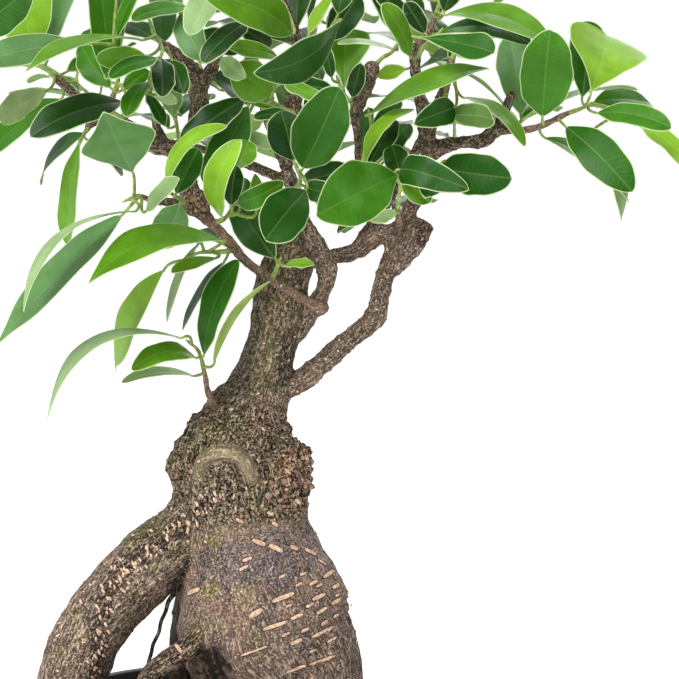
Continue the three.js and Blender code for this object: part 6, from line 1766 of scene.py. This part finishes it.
print("stage: pot and soil")
pot = {
    "height": 95.0, "rimRadius": 84.0, "baseRadius": 62.0, "wall": 2.6, "floor": 4.0,
    "bandHeight": 11.0, "bandStep": 2.2, "sides": 160,
}
soil = {
    "base": 4.3, "level": 84.0, "crown": 4.0, "clearance": 0.6, "sides": 180, "rings": 60,
    "grains": 700, "reach": 76, "seed": 11,
}


def potRadius(height):
    topRadius = pot["rimRadius"] - pot["bandStep"]
    return pot["baseRadius"] + (topRadius - pot["baseRadius"]) * height / pot["height"]


# A turned body from an outline of [radius, height] that starts and ends on the axis
def turned(outline, sides):
    angles = 2 * np.pi * np.arange(sides) / sides
    ring = np.stack((np.cos(angles), np.sin(angles)), 1)
    points = [np.array([[0.0, 0.0, outline[0][1]]])]
    for radius, height in outline[1:-1]:
        points.append(np.hstack((radius * ring, np.full((sides, 1), height))))
    points.append(np.array([[0.0, 0.0, outline[-1][1]]]))
    return np.concatenate(points), turnedFaces(len(outline) - 2, sides)


# Rounds the corners of an outline by the radius given with each
def roundedOutline(corners):
    made = []
    for i, (x, z, radius) in enumerate(corners):
        if radius == 0:
            made.append((x, z))
            continue
        here = np.array((x, z), float)
        before = unit(np.array(corners[i - 1][:2], float) - here)
        after = unit(np.array(corners[i + 1][:2], float) - here)
        for t in np.linspace(0, 1, 6):
            made.append(tuple((1 - t) ** 2 * (here + radius * before) + 2 * t * (1 - t) * here
                              + t * t * (here + radius * after)))
    return made


def makePot():
    bandBase = pot["height"] - pot["bandHeight"]
    corners = [
        (0, 0, 0), (pot["baseRadius"] - 6, 0, 0), (pot["baseRadius"] - 0.2, 0, 1.8),
        (potRadius(bandBase), bandBase, 0.6),
        (pot["rimRadius"] - 0.6, bandBase + 0.6, 0.5), (pot["rimRadius"], pot["height"], 1.0),
        (pot["rimRadius"] - pot["wall"] - 1.6, pot["height"], 0.9),
        (potRadius(pot["floor"]) - pot["wall"], pot["floor"], 2.0), (0, pot["floor"], 0),
    ]
    points, faces = turned(roundedOutline(corners), pot["sides"])
    parts = MeshParts()
    parts.add(points, faces)
    piece = parts.build("roundPot", [potMaterial])
    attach(piece, "root")
    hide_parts("pot")


def makeSoil():
    inner = potRadius(pot["floor"]) - pot["wall"]
    outer = pot["rimRadius"] - pot["wall"] - 1.6
    slope = (outer - inner) / (pot["height"] - pot["floor"])

    def wallAt(height):
        return inner + slope * (height - pot["floor"]) - soil["clearance"]

    base, level = soil["base"], soil["level"]
    outline = [(0, base), (wallAt(base), base), (wallAt(40), 40), (wallAt(80), 80)]
    for i in range(soil["rings"] + 1):
        share = 1 - i / soil["rings"]
        radius = wallAt(level) * share
        height = level + soil["crown"] * (1 - share ** 2) - 2.2 * smoothStep(0.93, 1.0, share)
        outline.append((max(radius, 0.0), height))
    points, faces = turned(outline, soil["sides"])
    top = points[:, 2] > 80.5
    rough = fractalAt(points, 7.0, 3, 3.0) * 1.1 + fractalAt(points, 2.4, 2, 8.0) * 0.5
    fromAxis = np.hypot(points[:, 0], points[:, 1])
    points[:, 2] += np.where(top, rough, 0) * smoothStep(wallAt(level), wallAt(level) - 6, fromAxis)
    parts = MeshParts()
    parts.add(points, faces, gritTone=np.full(len(points), 0.2))
    tree = BVHTree.FromPolygons(points.tolist(), faces)
    draw = makeRandom(soil["seed"])
    ball = bmesh.new()
    bmesh.ops.create_icosphere(ball, subdivisions=1, radius=1.0)
    ballPoints = np.array([tuple(v.co) for v in ball.verts])
    ballFaces = [tuple(v.index for v in f.verts) for f in ball.faces]
    ball.free()
    for _ in range(soil["grains"]):
        radius, turn = soil["reach"] * math.sqrt(draw()), 2 * math.pi * draw()
        size = 0.9 + 2.6 * draw() ** 2
        flat, spin, tone = 0.5 + 0.4 * draw(), 2 * math.pi * draw(), draw()
        x, y = radius * math.cos(turn), radius * math.sin(turn)
        found = tree.ray_cast(Vector((x, y, 120.0)), Vector((0, 0, -1)))
        if found[0] is None:
            continue
        grain = ballPoints * np.array((size, size * (0.6 + 0.3 * flat), size * flat))
        grain = grain * (1 + 0.22 * np.sin(ballPoints[:, :1] * 5 + spin))
        c, s = math.cos(spin), math.sin(spin)
        turnMatrix = np.array(((c, -s, 0), (s, c, 0), (0, 0, 1)))
        parts.add(grain @ turnMatrix.T + np.array((x, y, found[0][2] + 0.25 * size * flat)), ballFaces,
                  gritTone=np.full(len(grain), tone))
    piece = parts.build("pottingSoil", [soilMaterial])
    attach(piece, "root")
    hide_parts("soil")


makePot()
makeSoil()
